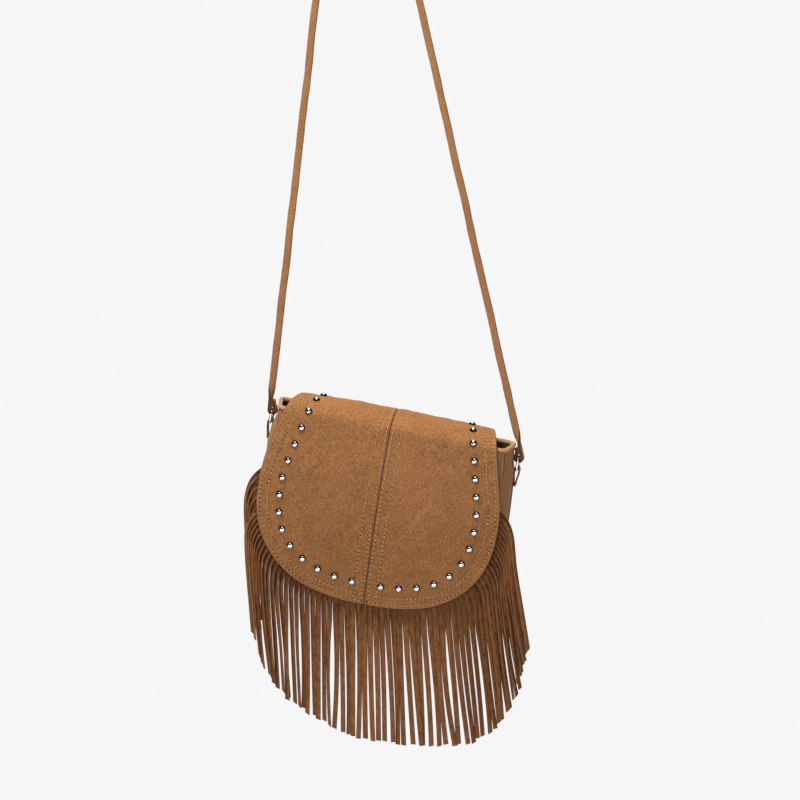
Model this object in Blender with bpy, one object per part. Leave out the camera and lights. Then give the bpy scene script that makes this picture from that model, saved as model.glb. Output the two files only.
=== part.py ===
# A small fringed suede shoulder bag, hanging by its strap.
#
# The world's origin is the point on the inside of the strap that rests on the peg it hangs from, with +Z up.
# The bag itself is modelled in a frame of its own: x runs to the viewer's right, y to the back and z up, with
# z = 0 at the top edge of the panels and y = 0 halfway between front and back. That frame hangs tilted, with
# the bag's right side lower. The bag's front looks along -Y in both frames.

from math import asin, atan2, cos, hypot, pi, radians, sin, tan

import bmesh
import bpy
from mathutils import Matrix, Vector

# Driving dimensions, in metres and degrees
CLEARANCE = 0.0003

HANG_TILT = 11.9
BAG_DROP = 0.6015
BAG_SHIFT = 0.0106
STRAP_BACK = 0.0155

BODY_HEIGHT = 0.153
FRONT_MOUTH_HALF = 0.098
FRONT_WIDE_HALF = 0.1035
BACK_MOUTH_HALF = 0.1065
BACK_WIDE_HALF = 0.1105
WIDE_DROP = 0.075
OUTLINE_POWER = 2.4
MOUTH_DEPTH = 0.044
BASE_FRONT = 0.009
BELLY = 0.007
EDGE_FALL = 0.0046
EDGE_FALL_POWER = 3
PANEL_THICKNESS = 0.0016
GUSSET_THICKNESS = 0.0014
GUSSET_BULGE = 0.004
GUSSET_BULGE_START = 0.03
GUSSET_OVERHANG = 0.0004
LINING_THICKNESS = 0.0008
BINDING_RADIUS = 0.0016

FRINGE_THICKNESS = 0.001
FRINGE_PITCH = 0.005
FRINGE_SLIT = 0.0005
FRINGE_LENGTH = 0.131
FRINGE_LONGER_RIGHT = 0.016
FRINGE_START_DROP = 0.048
FRINGE_HEADER = 0.005
FRINGE_BEND_LOW = 0.0121
FRINGE_BEND_SIDE = 0.0253
FRINGE_PULL = 0.36
FRINGE_DROP_PULL = 1.25
FRINGE_REACH = 0.0108
FRINGE_HANG_GAP = 0.0004
FRINGE_BACK_LAYER = 0.0056
FRINGE_BACK_ANGLE = 97.0
FRINGE_SPLAY_RIGHT = 11.0
FRINGE_SPLAY_LEFT = 2.0
FRINGE_SPLAY_POWER = 1.3

FLAP_OUTER_THICKNESS = 0.0013
FLAP_LINING_THICKNESS = 0.0009
FLAP_CREST_HALF = 0.0892
FLAP_FLARE = 0.226
FLAP_EASE = 0.025
FLAP_WIDE_AT = 0.0969
FLAP_LENGTH = 0.193
FLAP_POWER = 2.45
FLAP_CREST_HEIGHT = 0.015
FLAP_SEAM_GAP = 0.0006
FLAP_LINING_INSET = 0.0015
ANCHOR_HEIGHT = 0.012

STUD_RADIUS = 0.003
STUD_HEIGHT = 0.0023
STUD_RIM = 0.00025
STUDS_A_SIDE = 16
STUD_CENTRE_GAP = 0.026
STUD_INSET = 0.0202
STUD_LAST = -0.0214

SNAP_RADIUS = 0.007
SNAP_SOCKET_THICKNESS = 0.0013
SNAP_STUD_THICKNESS = 0.001
SNAP_BOSS_RADIUS = 0.0025
SNAP_BOSS_HEIGHT = 0.0007
SNAP_DROP = 0.15

STRAP_WIDTH = 0.0064
STRAP_THICKNESS = 0.0026
STRAP_CORNER = 0.0008
STRAP_RETURN = 0.009
STRAP_TWIST = 0.03
STRAP_TOP_TWIST = 0.2
PEG_RADIUS = 0.008

RING_WIRE = 0.00125
RING_WIDTH = 0.0115
RING_HEIGHT = 0.0105
RING_CORNER = 0.0025
RING_DROP = 0.009
RING_GAP = 0.0037
TAB_WIDTH = 0.0068
TAB_THICKNESS = 0.0012
TAB_LENGTH = 0.014

# How finely the curved parts are divided
PANEL_COLUMNS = 6
GUSSET_COLUMNS = 4
LINING_COLUMNS = 3
BINDING_COLUMNS = 9
FLAP_COLUMNS = 5
CREST_STEPS = 24
FRONT_STEPS = 98
BEND_STEPS = 24
HANG_STEPS = 6
FRINGE_STATIONS = 9
FRINGE_CROWDING = 1.35
STUD_SIDES = 9
STUD_RINGS = 3
SNAP_SIDES = 18
RING_CORNER_STEPS = 3
TAB_STEPS = 5
RETURN_STEPS = 5
TURN_STEPS = 6
STRAND_STEPS = 13
STRAP_CROWDING = 1.8
PEG_STEPS = 10

# Sizes that follow from the others
BACK_FACE = MOUTH_DEPTH / 2
FLAP_INSIDE = CLEARANCE / 2 + FLAP_LINING_THICKNESS
FLAP_OUTSIDE = CLEARANCE / 2 + FLAP_OUTER_THICKNESS
FLAP_STANDOFF = FLAP_INSIDE + SNAP_SOCKET_THICKNESS + SNAP_STUD_THICKNESS + 3 * CLEARANCE
HINGE_Y = BACK_FACE + CLEARANCE + FLAP_INSIDE
FLAP_FRONT = MOUTH_DEPTH / 2 + FLAP_STANDOFF

SUEDE = ("suede", (0.305, 0.133, 0.051), 0.9, 0.0)
EDGE_SUEDE = ("edge_suede", (0.36, 0.17, 0.07), 0.85, 0.0)
FRINGE_SUEDE = ("fringe_suede", (0.215, 0.09, 0.034), 0.9, 0.0)
FABRIC = ("lining_fabric", (0.05, 0.028, 0.016), 0.8, 0.0)
METAL = ("polished_metal", (0.8, 0.8, 0.82), 0.15, 1.0)


def clear_scene():
    for item in list(bpy.data.objects):
        bpy.data.objects.remove(item, do_unlink=True)


def material(finish):
    name, colour, roughness, metallic = finish
    found = bpy.data.materials.get(name)
    if found:
        return found
    made = bpy.data.materials.new(name)
    made.use_nodes = True
    made.diffuse_color = (*colour, 1)
    shader = made.node_tree.nodes["Principled BSDF"]
    shader.inputs["Base Color"].default_value = (*colour, 1)
    shader.inputs["Roughness"].default_value = roughness
    shader.inputs["Metallic"].default_value = metallic
    return made


def add_empty(name, location, parent=None):
    empty = bpy.data.objects.new(name, None)
    bpy.context.collection.objects.link(empty)
    empty.location = location
    empty.parent = parent
    return empty


def add_mesh(name, bm, finish, parent):
    mesh = bpy.data.meshes.new(name)
    bmesh.ops.recalc_face_normals(bm, faces=bm.faces)
    bm.to_mesh(mesh)
    bm.free()
    mesh.shade_smooth()
    mesh.set_sharp_from_angle(angle=radians(40))
    made = bpy.data.objects.new(name, mesh)
    bpy.context.collection.objects.link(made)
    mesh.materials.append(material(finish))
    made.parent = parent
    return made


def thicken(made, thickness):
    solidify = made.modifiers.new("thickness", "SOLIDIFY")
    solidify.thickness = thickness
    solidify.offset = 0


def add_sheet(name, rows, thickness, finish, parent):
    # A sheet from a grid of points on its middle surface. A last row of one point closes it with a fan.
    bm = bmesh.new()
    grid = [[bm.verts.new(point) for point in row] for row in rows]
    for upper, lower in zip(grid, grid[1:]):
        for i in range(len(upper) - 1):
            if len(lower) == 1:
                bm.faces.new((upper[i], upper[i + 1], lower[0]))
            else:
                bm.faces.new((upper[i], upper[i + 1], lower[i + 1], lower[i]))
    made = add_mesh(name, bm, finish, parent)
    thicken(made, thickness)


def add_sweep(name, stations, section, finish, parent):
    # A closed section carried along stations of (centre, width direction, thickness direction)
    bm = bmesh.new()
    rings = []
    for centre, across, through in stations:
        rings.append([bm.verts.new(centre + across * a + through * b) for a, b in section])
    count = len(section)
    for first, second in zip(rings, rings[1:]):
        for i in range(count):
            j = (i + 1) % count
            bm.faces.new((first[i], first[j], second[j], second[i]))
    bm.faces.new(rings[0])
    bm.faces.new(rings[-1])
    add_mesh(name, bm, finish, parent)


def add_tube(name, points, radius, finish, parent):
    curve = bpy.data.curves.new(name, "CURVE")
    curve.dimensions = "3D"
    curve.bevel_depth = radius
    curve.bevel_resolution = 1
    spline = curve.splines.new("POLY")
    spline.points.add(len(points) - 1)
    for target, point in zip(spline.points, points):
        target.co = (*point, 1)
    spline.use_cyclic_u = True
    spline.use_smooth = True
    curve.materials.append(material(finish))
    made = bpy.data.objects.new(name, curve)
    bpy.context.collection.objects.link(made)
    made.parent = parent


def add_turned(name, profile, steps, finish, parent, matrix):
    # A solid turned about its own z axis from a profile of (radius, height) that starts and ends on the axis
    bm = bmesh.new()
    verts = [bm.verts.new((radius, 0, height)) for radius, height in profile]
    edges = [bm.edges.new(pair) for pair in zip(verts, verts[1:])]
    bmesh.ops.spin(
        bm, geom=verts + edges, cent=(0, 0, 0), axis=(0, 0, 1), angle=2 * pi, steps=steps, use_merge=True
    )
    bmesh.ops.remove_doubles(bm, verts=bm.verts, dist=0.00001)
    made = add_mesh(name, bm, finish, parent)
    made.matrix_basis = matrix


def mix(a, b, share):
    return a + (b - a) * share


def smooth(share):
    share = min(max(share, 0), 1)
    return share * share * (3 - 2 * share)


def spread(start, end, columns):
    # Places from start to end that get closer together towards the end, where the panels curve most
    return [mix(start, end, sin(pi / 2 * i / columns)) for i in range(columns + 1)]


def spread_across(half, columns):
    side = spread(0, half, columns)
    return [-x for x in side[:0:-1]] + side


def measure(points):
    distances = [0.0]
    for a, b in zip(points, points[1:]):
        distances.append(distances[-1] + (Vector(b) - Vector(a)).length)
    return distances


def walk(points, distances, distance):
    # The point and the direction at a distance along a line of points
    last = len(points) - 2
    i = 0
    while i < last and distances[i + 1] < distance:
        i += 1
    a, b = Vector(points[i]), Vector(points[i + 1])
    span = distances[i + 1] - distances[i]
    return mix(a, b, (distance - distances[i]) / span), (b - a) / span


def rounded_section(width, thickness, corner):
    a, b = width / 2, thickness / 2
    c, d = a - corner, b - corner
    return [(c, -b), (a, -d), (a, d), (c, b), (-c, b), (-a, d), (-a, -d), (-c, -b)]


# The body: a front with a belly, a flat back and a gusset between them


def front_profile(z):
    share = -z / BODY_HEIGHT
    return -MOUTH_DEPTH / 2 * (1 - share) - BASE_FRONT * share - BELLY * sin(pi * share)


def edge_fall(x):
    return EDGE_FALL * abs(x / FRONT_WIDE_HALF) ** EDGE_FALL_POWER


def front_face(x, z):
    return front_profile(z) + edge_fall(x)


def side_outline(mouth_half, wide_half, height, straight=6, round_steps=12):
    # The right edge of a panel as (x, z), from the mouth down to the middle of the bottom
    points = []
    for i in range(straight):
        share = i / straight
        points.append((mix(mouth_half, wide_half, sin(share * pi / 2)), -WIDE_DROP * share))
    for i in range(round_steps):
        angle = pi / 2 * i / round_steps
        x = wide_half * cos(angle) ** (2 / OUTLINE_POWER)
        z = -WIDE_DROP - (height - WIDE_DROP) * sin(angle) ** (2 / OUTLINE_POWER)
        points.append((x, z))
    points.append((0, -height))
    return points


def full_outline(side):
    # The whole U, from the left end of the mouth round the bottom to the right end
    left = [(-x, z) for x, z in side]
    return left + side[-2::-1]


def front_side(inset=0.0, **counts):
    return side_outline(FRONT_MOUTH_HALF - inset, FRONT_WIDE_HALF - inset, BODY_HEIGHT - inset, **counts)


def back_side(inset=0.0, **counts):
    height = BODY_HEIGHT + BACK_WIDE_HALF - FRONT_WIDE_HALF
    return side_outline(BACK_MOUTH_HALF - inset, BACK_WIDE_HALF - inset, height - inset, **counts)


def panel_rows(side, face, columns):
    rows = []
    for x, z in side[:-1]:
        rows.append([(px, face(px, z), z) for px in spread_across(x, columns)])
    x, z = side[-1]
    rows.append([(x, face(x, z), z)])
    return rows


def add_panels(bag):
    front = panel_rows(front_side(), lambda x, z: front_face(x, z) + PANEL_THICKNESS / 2, PANEL_COLUMNS)
    add_sheet("front_panel", front, PANEL_THICKNESS, SUEDE, bag)
    back = panel_rows(back_side(), lambda x, z: BACK_FACE - PANEL_THICKNESS / 2, 1)
    add_sheet("back_panel", back, PANEL_THICKNESS, SUEDE, bag)


def gusset_front_y(x, z):
    return front_face(x, z) + PANEL_THICKNESS + FRINGE_THICKNESS + 2 * CLEARANCE


def gusset_back_y():
    return BACK_FACE - PANEL_THICKNESS - CLEARANCE


def outline_normals(points):
    normals = []
    for i in range(len(points)):
        a = Vector(points[max(i - 1, 0)])
        b = Vector(points[min(i + 1, len(points) - 1)])
        run = (b - a).normalized()
        normals.append(Vector((run.y, -run.x)))
    return normals


def gusset_rows(inset, steps, front_gap=0.0):
    # Rows from the front edge to the back edge. Each row runs along the whole U.
    front = full_outline(front_side(inset))
    back = full_outline(back_side(inset))
    seam = full_outline(front_side())
    normals = outline_normals(front)
    rows = []
    for j in range(steps + 1):
        share = j / steps
        row = []
        for (fx, fz), (bx, bz), (sx, sz), normal in zip(front, back, seam, normals):
            bulge = GUSSET_BULGE * sin(pi * share) * smooth(-fz / GUSSET_BULGE_START)
            x = mix(fx, bx, share) + normal.x * bulge
            z = mix(fz, bz, share) + normal.y * bulge
            y = mix(gusset_front_y(sx, sz) + front_gap, gusset_back_y() - front_gap, share)
            row.append((x, y, z))
        rows.append(row)
    return rows


def add_gusset(bag):
    rows = gusset_rows(GUSSET_THICKNESS / 2 + GUSSET_OVERHANG, GUSSET_COLUMNS)
    add_sheet("gusset", rows, GUSSET_THICKNESS, SUEDE, bag)


def add_lining(bag):
    # A thin pocket inside the panels and the gusset: a front wall, a band and a back wall in one skin
    inset = GUSSET_THICKNESS + GUSSET_OVERHANG + CLEARANCE + LINING_THICKNESS / 2
    wall_gap = CLEARANCE + LINING_THICKNESS / 2
    band = gusset_rows(inset, GUSSET_COLUMNS, front_gap=wall_gap)
    bm = bmesh.new()
    half = len(band[0]) // 2
    loops = []
    for i in range(half):
        left = [Vector(row[i]) for row in band]
        right = [Vector(row[-1 - i]) for row in band]
        front_edge, back_edge = left[0], left[-1]
        loop = list(left)
        for k in range(1, LINING_COLUMNS):
            share = k / LINING_COLUMNS
            loop.append(Vector((mix(back_edge.x, -back_edge.x, share), back_edge.y, back_edge.z)))
        loop += right[::-1]
        for k in range(1, LINING_COLUMNS):
            share = k / LINING_COLUMNS
            x = mix(-front_edge.x, front_edge.x, share)
            y = front_edge.y + edge_fall(x) - edge_fall(front_edge.x)
            loop.append(Vector((x, y, front_edge.z)))
        loops.append([bm.verts.new(point) for point in loop])
    count = len(loops[0])
    for upper, lower in zip(loops, loops[1:]):
        for i in range(count):
            j = (i + 1) % count
            bm.faces.new((upper[i], upper[j], lower[j], lower[i]))
    bm.faces.new(loops[-1])
    made = add_mesh("lining", bm, FABRIC, bag)
    thicken(made, LINING_THICKNESS)


def mouth_loop(height):
    # The mouth's rim seen from above: the front edge, the right gusset, the back and the left gusset
    inset = GUSSET_THICKNESS / 2 + GUSSET_OVERHANG
    band = gusset_rows(inset, 2 * GUSSET_COLUMNS)
    left = [Vector(row[0]) for row in band]
    right = [Vector(row[-1]) for row in band]
    loop = []
    for i in range(BINDING_COLUMNS + 1):
        x = (FRONT_MOUTH_HALF - BINDING_RADIUS) * (2 * i / BINDING_COLUMNS - 1)
        loop.append(Vector((x, front_face(x, 0) + BINDING_RADIUS, height)))
    loop += [Vector((point.x, point.y, height)) for point in right[1:-1]]
    for x in (BACK_MOUTH_HALF - BINDING_RADIUS, 0.0, BINDING_RADIUS - BACK_MOUTH_HALF):
        loop.append(Vector((x, BACK_FACE - BINDING_RADIUS - 2 * CLEARANCE, height)))
    loop += [Vector((point.x, point.y, height)) for point in left[-2:0:-1]]
    return loop


def add_mouth_binding(bag):
    add_tube("mouth_binding", mouth_loop(BINDING_RADIUS + CLEARANCE), BINDING_RADIUS, EDGE_SUEDE, bag)


# The fringe: one strip of suede, sewn in the seam between front panel and gusset and cut into strands


def plumb():
    # Straight down and level, as (x, z) in the bag's own frame
    tilt = radians(HANG_TILT)
    return Vector((sin(tilt), -cos(tilt))), Vector((cos(tilt), sin(tilt)))


def strand_roots():
    # The point, the outward direction and the turn to hang straight down of each strand, from left to right
    line = full_outline(front_side(straight=12, round_steps=60))
    distances = measure(line)
    start = next(d for (x, z), d in zip(line, distances) if z <= -FRINGE_START_DROP)
    total = distances[-1] - 2 * start
    count = int(total / FRINGE_PITCH)
    down, level = plumb()
    roots = []
    for i in range(count):
        point, run = walk(line, distances, distances[-1] / 2 + (i - (count - 1) / 2) * FRINGE_PITCH)
        outward = Vector((run.y, -run.x))
        turn = atan2(outward.dot(level), outward.dot(down))
        roots.append((point, run, outward, turn))
    return roots


def room_for(turn):
    # The level room that a hanging strand takes when it is turned edge-on by this angle
    width = FRINGE_PITCH - FRINGE_SLIT
    return width * cos(turn) + FRINGE_THICKNESS * sin(turn) + FRINGE_HANG_GAP


def hanging_turn(turn):
    # A strand turns edge-on far enough to fit in the level room between its neighbours' roots
    turn = min(abs(turn), pi / 2)
    room = FRINGE_PITCH * cos(turn)
    while turn < pi / 2 and room_for(turn) > room:
        turn += radians(1)
    return min(turn, pi / 2)


def hanging_places(roots):
    # How far along the level direction each strand hangs, and how far behind the seam. A strand hangs under
    # its root, or as far out as its neighbour needs. On the lower left the bag is wider than above, so the
    # strands from above hang outside it, behind the others.
    level = plumb()[1]
    middle = min(range(len(roots)), key=lambda i: abs(roots[i][3]))
    places = [root[0].dot(level) for root in roots]
    layers = [0.0] * len(roots)
    widest = min(places)

    def spacing(i, j):
        return (room_for(hanging_turn(roots[i][3])) + room_for(hanging_turn(roots[j][3]))) / 2

    def reach(i):
        return FRINGE_REACH * sin(min(abs(roots[i][3]), pi / 2))

    for i in range(middle + 1, len(roots)):
        places[i] = max(places[i] + reach(i), places[i - 1] + spacing(i, i - 1))
    behind = 0
    for i in range(middle - 1, -1, -1):
        if roots[i][3] < -radians(FRINGE_BACK_ANGLE):
            places[i] = widest - FRINGE_REACH - behind * room_for(pi / 2) / 2
            layers[i] = FRINGE_BACK_LAYER * (1 + behind % 2)
            behind += 1
        else:
            places[i] = min(places[i] - reach(i), places[i + 1] - spacing(i, i + 1))
    return places, layers


def strand_line(root, place, layer, length, lean):
    # The middle line of one strand as (distance, point): a bend out of the seam, then straight down
    point, _, outward, turn = root
    down, level = plumb()
    out = place - point.dot(level)
    drop = mix(FRINGE_BEND_LOW, FRINGE_BEND_SIDE, smooth(abs(turn) / (pi / 2))) + abs(out)
    hang = level * place + down * (point.dot(down) + drop)
    pull = FRINGE_PULL * hypot(out, drop)
    a, b = point, point + outward * pull
    c, d = hang - down * pull * FRINGE_DROP_PULL, hang
    line = []
    for i in range(BEND_STEPS + 1):
        t = i / BEND_STEPS
        flat = a * (1 - t) ** 3 + b * 3 * t * (1 - t) ** 2 + c * 3 * t * t * (1 - t) + d * t ** 3
        line.append(Vector((flat.x, layer * smooth(t), flat.y)))
    used = measure(line)[-1]
    rest = length - used
    for i in range(1, HANG_STEPS + 1):
        share = i / HANG_STEPS
        flat = hang + down * rest * share + level * rest * tan(lean) * share ** FRINGE_SPLAY_POWER
        line.append(Vector((flat.x, layer, flat.y)))
    return line, used


def add_fringe(bag):
    roots = strand_roots()
    places, layers = hanging_places(roots)
    half = (FRINGE_PITCH - FRINGE_SLIT) / 2
    header_depth = PANEL_THICKNESS + CLEARANCE + FRINGE_THICKNESS / 2
    span = max(abs(place) for place in places)
    bm = bmesh.new()
    header = []
    for root, place, layer in zip(roots, places, layers):
        point, run, outward, turn = root
        splay = FRINGE_SPLAY_RIGHT if place > 0 else FRINGE_SPLAY_LEFT
        share = place / span
        length = FRINGE_LENGTH + FRINGE_LONGER_RIGHT * max(share, 0) ** 2
        line, bend = strand_line(root, place, layer, length, radians(splay) * abs(share) ** 3)
        distances = measure(line)
        side = 1 if turn > 0 else -1
        depth = front_face(point.x, point.y) + header_depth
        final = side * hanging_turn(turn)
        seam_pair, sewn_pair = [], []
        for end in (-half, half):
            outer = point + run * end
            inner = outer - outward * FRINGE_HEADER
            seam_pair.append(bm.verts.new((outer.x, front_face(*outer) + header_depth, outer.y)))
            sewn_pair.append(bm.verts.new((inner.x, front_face(*inner) + header_depth, inner.y)))
        strand = [seam_pair]
        for k in range(1, FRINGE_STATIONS + 1):
            distance = length * (k / FRINGE_STATIONS) ** FRINGE_CROWDING
            middle, along = walk(line, distances, distance)
            middle = middle + Vector((0, depth, 0))
            twist = final * smooth(distance / bend)
            level = Vector((-along.z, 0, along.x)).normalized()
            across = level * cos(twist) + Vector((0, 1, 0)) * sin(twist)
            strand.append((bm.verts.new(middle - across * half), bm.verts.new(middle + across * half)))
        for (a, b), (c, d) in zip(strand, strand[1:]):
            bm.faces.new((a, b, d, c))
        bm.faces.new((sewn_pair[0], sewn_pair[1], seam_pair[1], seam_pair[0]))
        header.append((sewn_pair, seam_pair))
    for (left_inner, left_outer), (right_inner, right_outer) in zip(header, header[1:]):
        bm.faces.new((left_inner[1], right_inner[0], right_outer[0], left_outer[1]))
    made = add_mesh("fringe", bm, FRINGE_SUEDE, bag)
    thicken(made, FRINGE_THICKNESS)


# The flap: sewn to the back, arched over the mouth and hanging down the front


def flap_middle_line():
    # Points (y, z) of the flap's middle surface, from the hinge over the crest to below the flap's end
    centre = (HINGE_Y - FLAP_FRONT) / 2
    radius = (HINGE_Y + FLAP_FRONT) / 2
    line = []
    for i in range(2 * CREST_STEPS + 1):
        angle = pi / 2 * i / CREST_STEPS
        line.append((centre + radius * cos(angle), FLAP_CREST_HEIGHT * sin(angle)))
    for i in range(1, FRONT_STEPS + 1):
        z = -FLAP_LENGTH * i / FRONT_STEPS
        line.append((front_profile(z) - FLAP_STANDOFF, z))
    return line


FLAP_LINE = flap_middle_line()
FLAP_DISTANCES = measure(FLAP_LINE)
FLAP_CREST_AT = FLAP_DISTANCES[CREST_STEPS]


def flap_point(x, along, offset):
    # A point of the flap at x, a distance along from the crest and an offset outward from its middle surface
    point, run = walk(FLAP_LINE, FLAP_DISTANCES, FLAP_CREST_AT + along)
    outward = Vector((run.y, -run.x)).normalized()
    fall = edge_fall(x) * smooth(1 + along / FLAP_CREST_AT)
    placed = point + outward * (offset - fall)
    return Vector((x, placed.x, placed.y))


def flap_half_width(along):
    ease_from = FLAP_WIDE_AT - FLAP_EASE
    if along <= ease_from:
        return FLAP_CREST_HALF + FLAP_FLARE * along
    run = min(along, FLAP_WIDE_AT) - ease_from
    wide = FLAP_CREST_HALF + FLAP_FLARE * (ease_from + run - run * run / (2 * FLAP_EASE))
    if along <= FLAP_WIDE_AT:
        return wide
    share = min((along - FLAP_WIDE_AT) / (FLAP_LENGTH - FLAP_WIDE_AT), 1)
    return wide * (1 - share ** FLAP_POWER) ** (1 / FLAP_POWER)


def flap_edge(inset=0.0, top=6, middle=7, bottom=11):
    # (half-width, distance from the crest) down the flap, from the hinge to its lowest point
    edge = []
    for i in range(top):
        along = -FLAP_CREST_AT * (1 - i / top)
        edge.append((flap_half_width(along) - inset, along))
    for i in range(middle):
        along = FLAP_WIDE_AT * i / middle
        edge.append((flap_half_width(along) - inset, along))
    wide = flap_half_width(FLAP_WIDE_AT) - inset
    for i in range(bottom):
        angle = pi / 2 * i / bottom
        drop = (FLAP_LENGTH - inset - FLAP_WIDE_AT) * sin(angle) ** (2 / FLAP_POWER)
        edge.append((wide * cos(angle) ** (2 / FLAP_POWER), FLAP_WIDE_AT + drop))
    edge.append((0, FLAP_LENGTH - inset))
    return edge


def flap_rows(edge, side, offset):
    rows = []
    seam = FLAP_SEAM_GAP / 2
    for half, along in edge[:-1]:
        rows.append([flap_point(side * x, along, offset) for x in spread(seam, half, FLAP_COLUMNS)])
    rows.append([flap_point(side * seam, edge[-1][1], offset)])
    return rows


def add_flap(hinge):
    centre = Vector(hinge.location)
    outer = FLAP_OUTSIDE - FLAP_OUTER_THICKNESS / 2
    for name, side in (("flap_left", -1), ("flap_right", 1)):
        rows = flap_rows(flap_edge(), side, outer)
        rows = [[point - centre for point in row] for row in rows]
        add_sheet(name, rows, FLAP_OUTER_THICKNESS, SUEDE, hinge)
    inner = FLAP_LINING_THICKNESS / 2 - FLAP_INSIDE
    rows = []
    edge = flap_edge(FLAP_LINING_INSET)
    for half, along in edge[:-1]:
        rows.append([flap_point(x, along, inner) - centre for x in spread_across(half, FLAP_COLUMNS)])
    rows.append([flap_point(0, edge[-1][1], inner) - centre])
    add_sheet("flap_lining", rows, FLAP_LINING_THICKNESS, FABRIC, hinge)


def add_flap_anchor(bag):
    # The flap's sewn-down end on the back panel, which stays with the bag when the flap lifts
    half = flap_half_width(-FLAP_CREST_AT)
    thickness = FLAP_INSIDE + FLAP_OUTSIDE
    y = BACK_FACE + CLEARANCE + thickness / 2
    rows = [[(x, y, z) for x in (-half, half)] for z in (-CLEARANCE, -ANCHOR_HEIGHT)]
    add_sheet("flap_anchor", rows, thickness, SUEDE, bag)


def flap_axes(x, along, offset):
    # A matrix on the flap with its z axis pointing outward
    step = 0.001
    here = flap_point(x, along, offset)
    across = (flap_point(x + step, along, offset) - flap_point(x - step, along, offset)).normalized()
    down = (flap_point(x, along + step, offset) - flap_point(x, along - step, offset)).normalized()
    outward = down.cross(across).normalized()
    across = down.cross(outward).normalized()
    turn = Matrix((across, outward.cross(across), outward)).transposed()
    return Matrix.Translation(here) @ turn.to_4x4()


def stud_line():
    # The line of the studs in the flap's flat pattern, (x, along), from the seam round the right edge
    edge = flap_edge(top=24, middle=30, bottom=60)[::-1]
    line = []
    for i in range(1, len(edge) - 1):
        a, b = Vector(edge[i - 1]), Vector(edge[i + 1])
        run = (b - a).normalized()
        inward = Vector((run.y, -run.x))
        line.append(Vector(edge[i]) + inward * STUD_INSET)
    return [point for point in line if point.x > 0]


def stud_places():
    # Evenly from beside the seam, round the edge and up to the last one on the back half of the crest
    line = stud_line()
    line.insert(0, Vector((0, line[0].y)))
    distances = measure(line)
    last = next(i for i, point in enumerate(line) if point.y < STUD_LAST)
    above, below = line[last - 1], line[last]
    span = distances[last] - distances[last - 1]
    end = distances[last - 1] + span * (above.y - STUD_LAST) / (above.y - below.y)
    places = []
    for i in range(STUDS_A_SIDE):
        point = walk(line, distances, mix(STUD_CENTRE_GAP / 2, end, i / (STUDS_A_SIDE - 1)))[0]
        places.append((point.x, point.y))
    left = [(-x, along) for x, along in places[::-1]]
    return left + places


def add_studs(hinge):
    dome = STUD_HEIGHT - STUD_RIM
    profile = [(0, 0), (STUD_RADIUS - STUD_RIM, 0), (STUD_RADIUS, STUD_RIM)]
    for i in range(1, STUD_RINGS):
        angle = pi / 2 * i / STUD_RINGS
        profile.append((STUD_RADIUS * cos(angle), STUD_RIM + dome * sin(angle)))
    profile.append((0, STUD_HEIGHT))
    shift = Matrix.Translation(-Vector(hinge.location))
    for number, (x, along) in enumerate(stud_places(), 1):
        matrix = shift @ flap_axes(x, along, FLAP_OUTSIDE + CLEARANCE)
        add_turned(f"stud_{number:02d}", profile, STUD_SIDES, METAL, hinge, matrix)


def add_snap(bag, hinge):
    # A magnetic snap: a recessed half on the front panel and a half with a boss inside the flap
    socket_face = -FLAP_INSIDE - CLEARANCE - SNAP_STUD_THICKNESS - CLEARANCE
    dip = SNAP_BOSS_HEIGHT + CLEARANCE
    dip_radius = SNAP_BOSS_RADIUS + CLEARANCE
    socket = [
        (0, -SNAP_SOCKET_THICKNESS),
        (SNAP_RADIUS, -SNAP_SOCKET_THICKNESS),
        (SNAP_RADIUS, 0),
        (dip_radius, 0),
        (dip_radius, -dip),
        (0, -dip),
    ]
    add_turned("snap_socket", socket, SNAP_SIDES, METAL, bag, flap_axes(0, SNAP_DROP, socket_face))
    stud = [
        (0, -SNAP_STUD_THICKNESS - SNAP_BOSS_HEIGHT),
        (SNAP_BOSS_RADIUS, -SNAP_STUD_THICKNESS - SNAP_BOSS_HEIGHT),
        (SNAP_BOSS_RADIUS, -SNAP_STUD_THICKNESS),
        (SNAP_RADIUS, -SNAP_STUD_THICKNESS),
        (SNAP_RADIUS, 0),
        (0, 0),
    ]
    shift = Matrix.Translation(-Vector(hinge.location))
    matrix = shift @ flap_axes(0, SNAP_DROP, -FLAP_INSIDE - CLEARANCE)
    add_turned("snap_stud", stud, SNAP_SIDES, METAL, hinge, matrix)


# The strap, its rings and the tabs that hold them


def gusset_side(z, y):
    # How far out the gusset's outer face is beside a point of the mouth's straight part
    front_y = gusset_front_y(FRONT_MOUTH_HALF, z)
    share = (y - front_y) / (gusset_back_y() - front_y)
    rise = sin(min(-z / WIDE_DROP, 1) * pi / 2)
    front = mix(FRONT_MOUTH_HALF, FRONT_WIDE_HALF, rise)
    back = mix(BACK_MOUTH_HALF, BACK_WIDE_HALF, rise)
    bulge = GUSSET_BULGE * sin(pi * share) * smooth(-z / GUSSET_BULGE_START)
    return mix(front, back, share) - GUSSET_OVERHANG + bulge


def ring_out():
    # The rings hang beside the gusset, however wide the bag is
    return gusset_side(-RING_DROP - RING_HEIGHT, STRAP_BACK) + RING_GAP


def ring_centre(side):
    return Vector((side * ring_out(), STRAP_BACK, -RING_DROP - RING_HEIGHT / 2))


def add_ring(name, side, bag):
    centre = ring_centre(side)
    a, b = RING_WIDTH / 2 - RING_CORNER, RING_HEIGHT / 2 - RING_CORNER
    points = []
    for quarter, (y, z) in enumerate(((a, b), (-a, b), (-a, -b), (a, -b))):
        for i in range(RING_CORNER_STEPS + 1):
            angle = pi / 2 * (quarter + i / RING_CORNER_STEPS)
            points.append(centre + Vector((0, y + RING_CORNER * cos(angle), z + RING_CORNER * sin(angle))))
    add_tube(name, points, RING_WIRE, METAL, bag)


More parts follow.
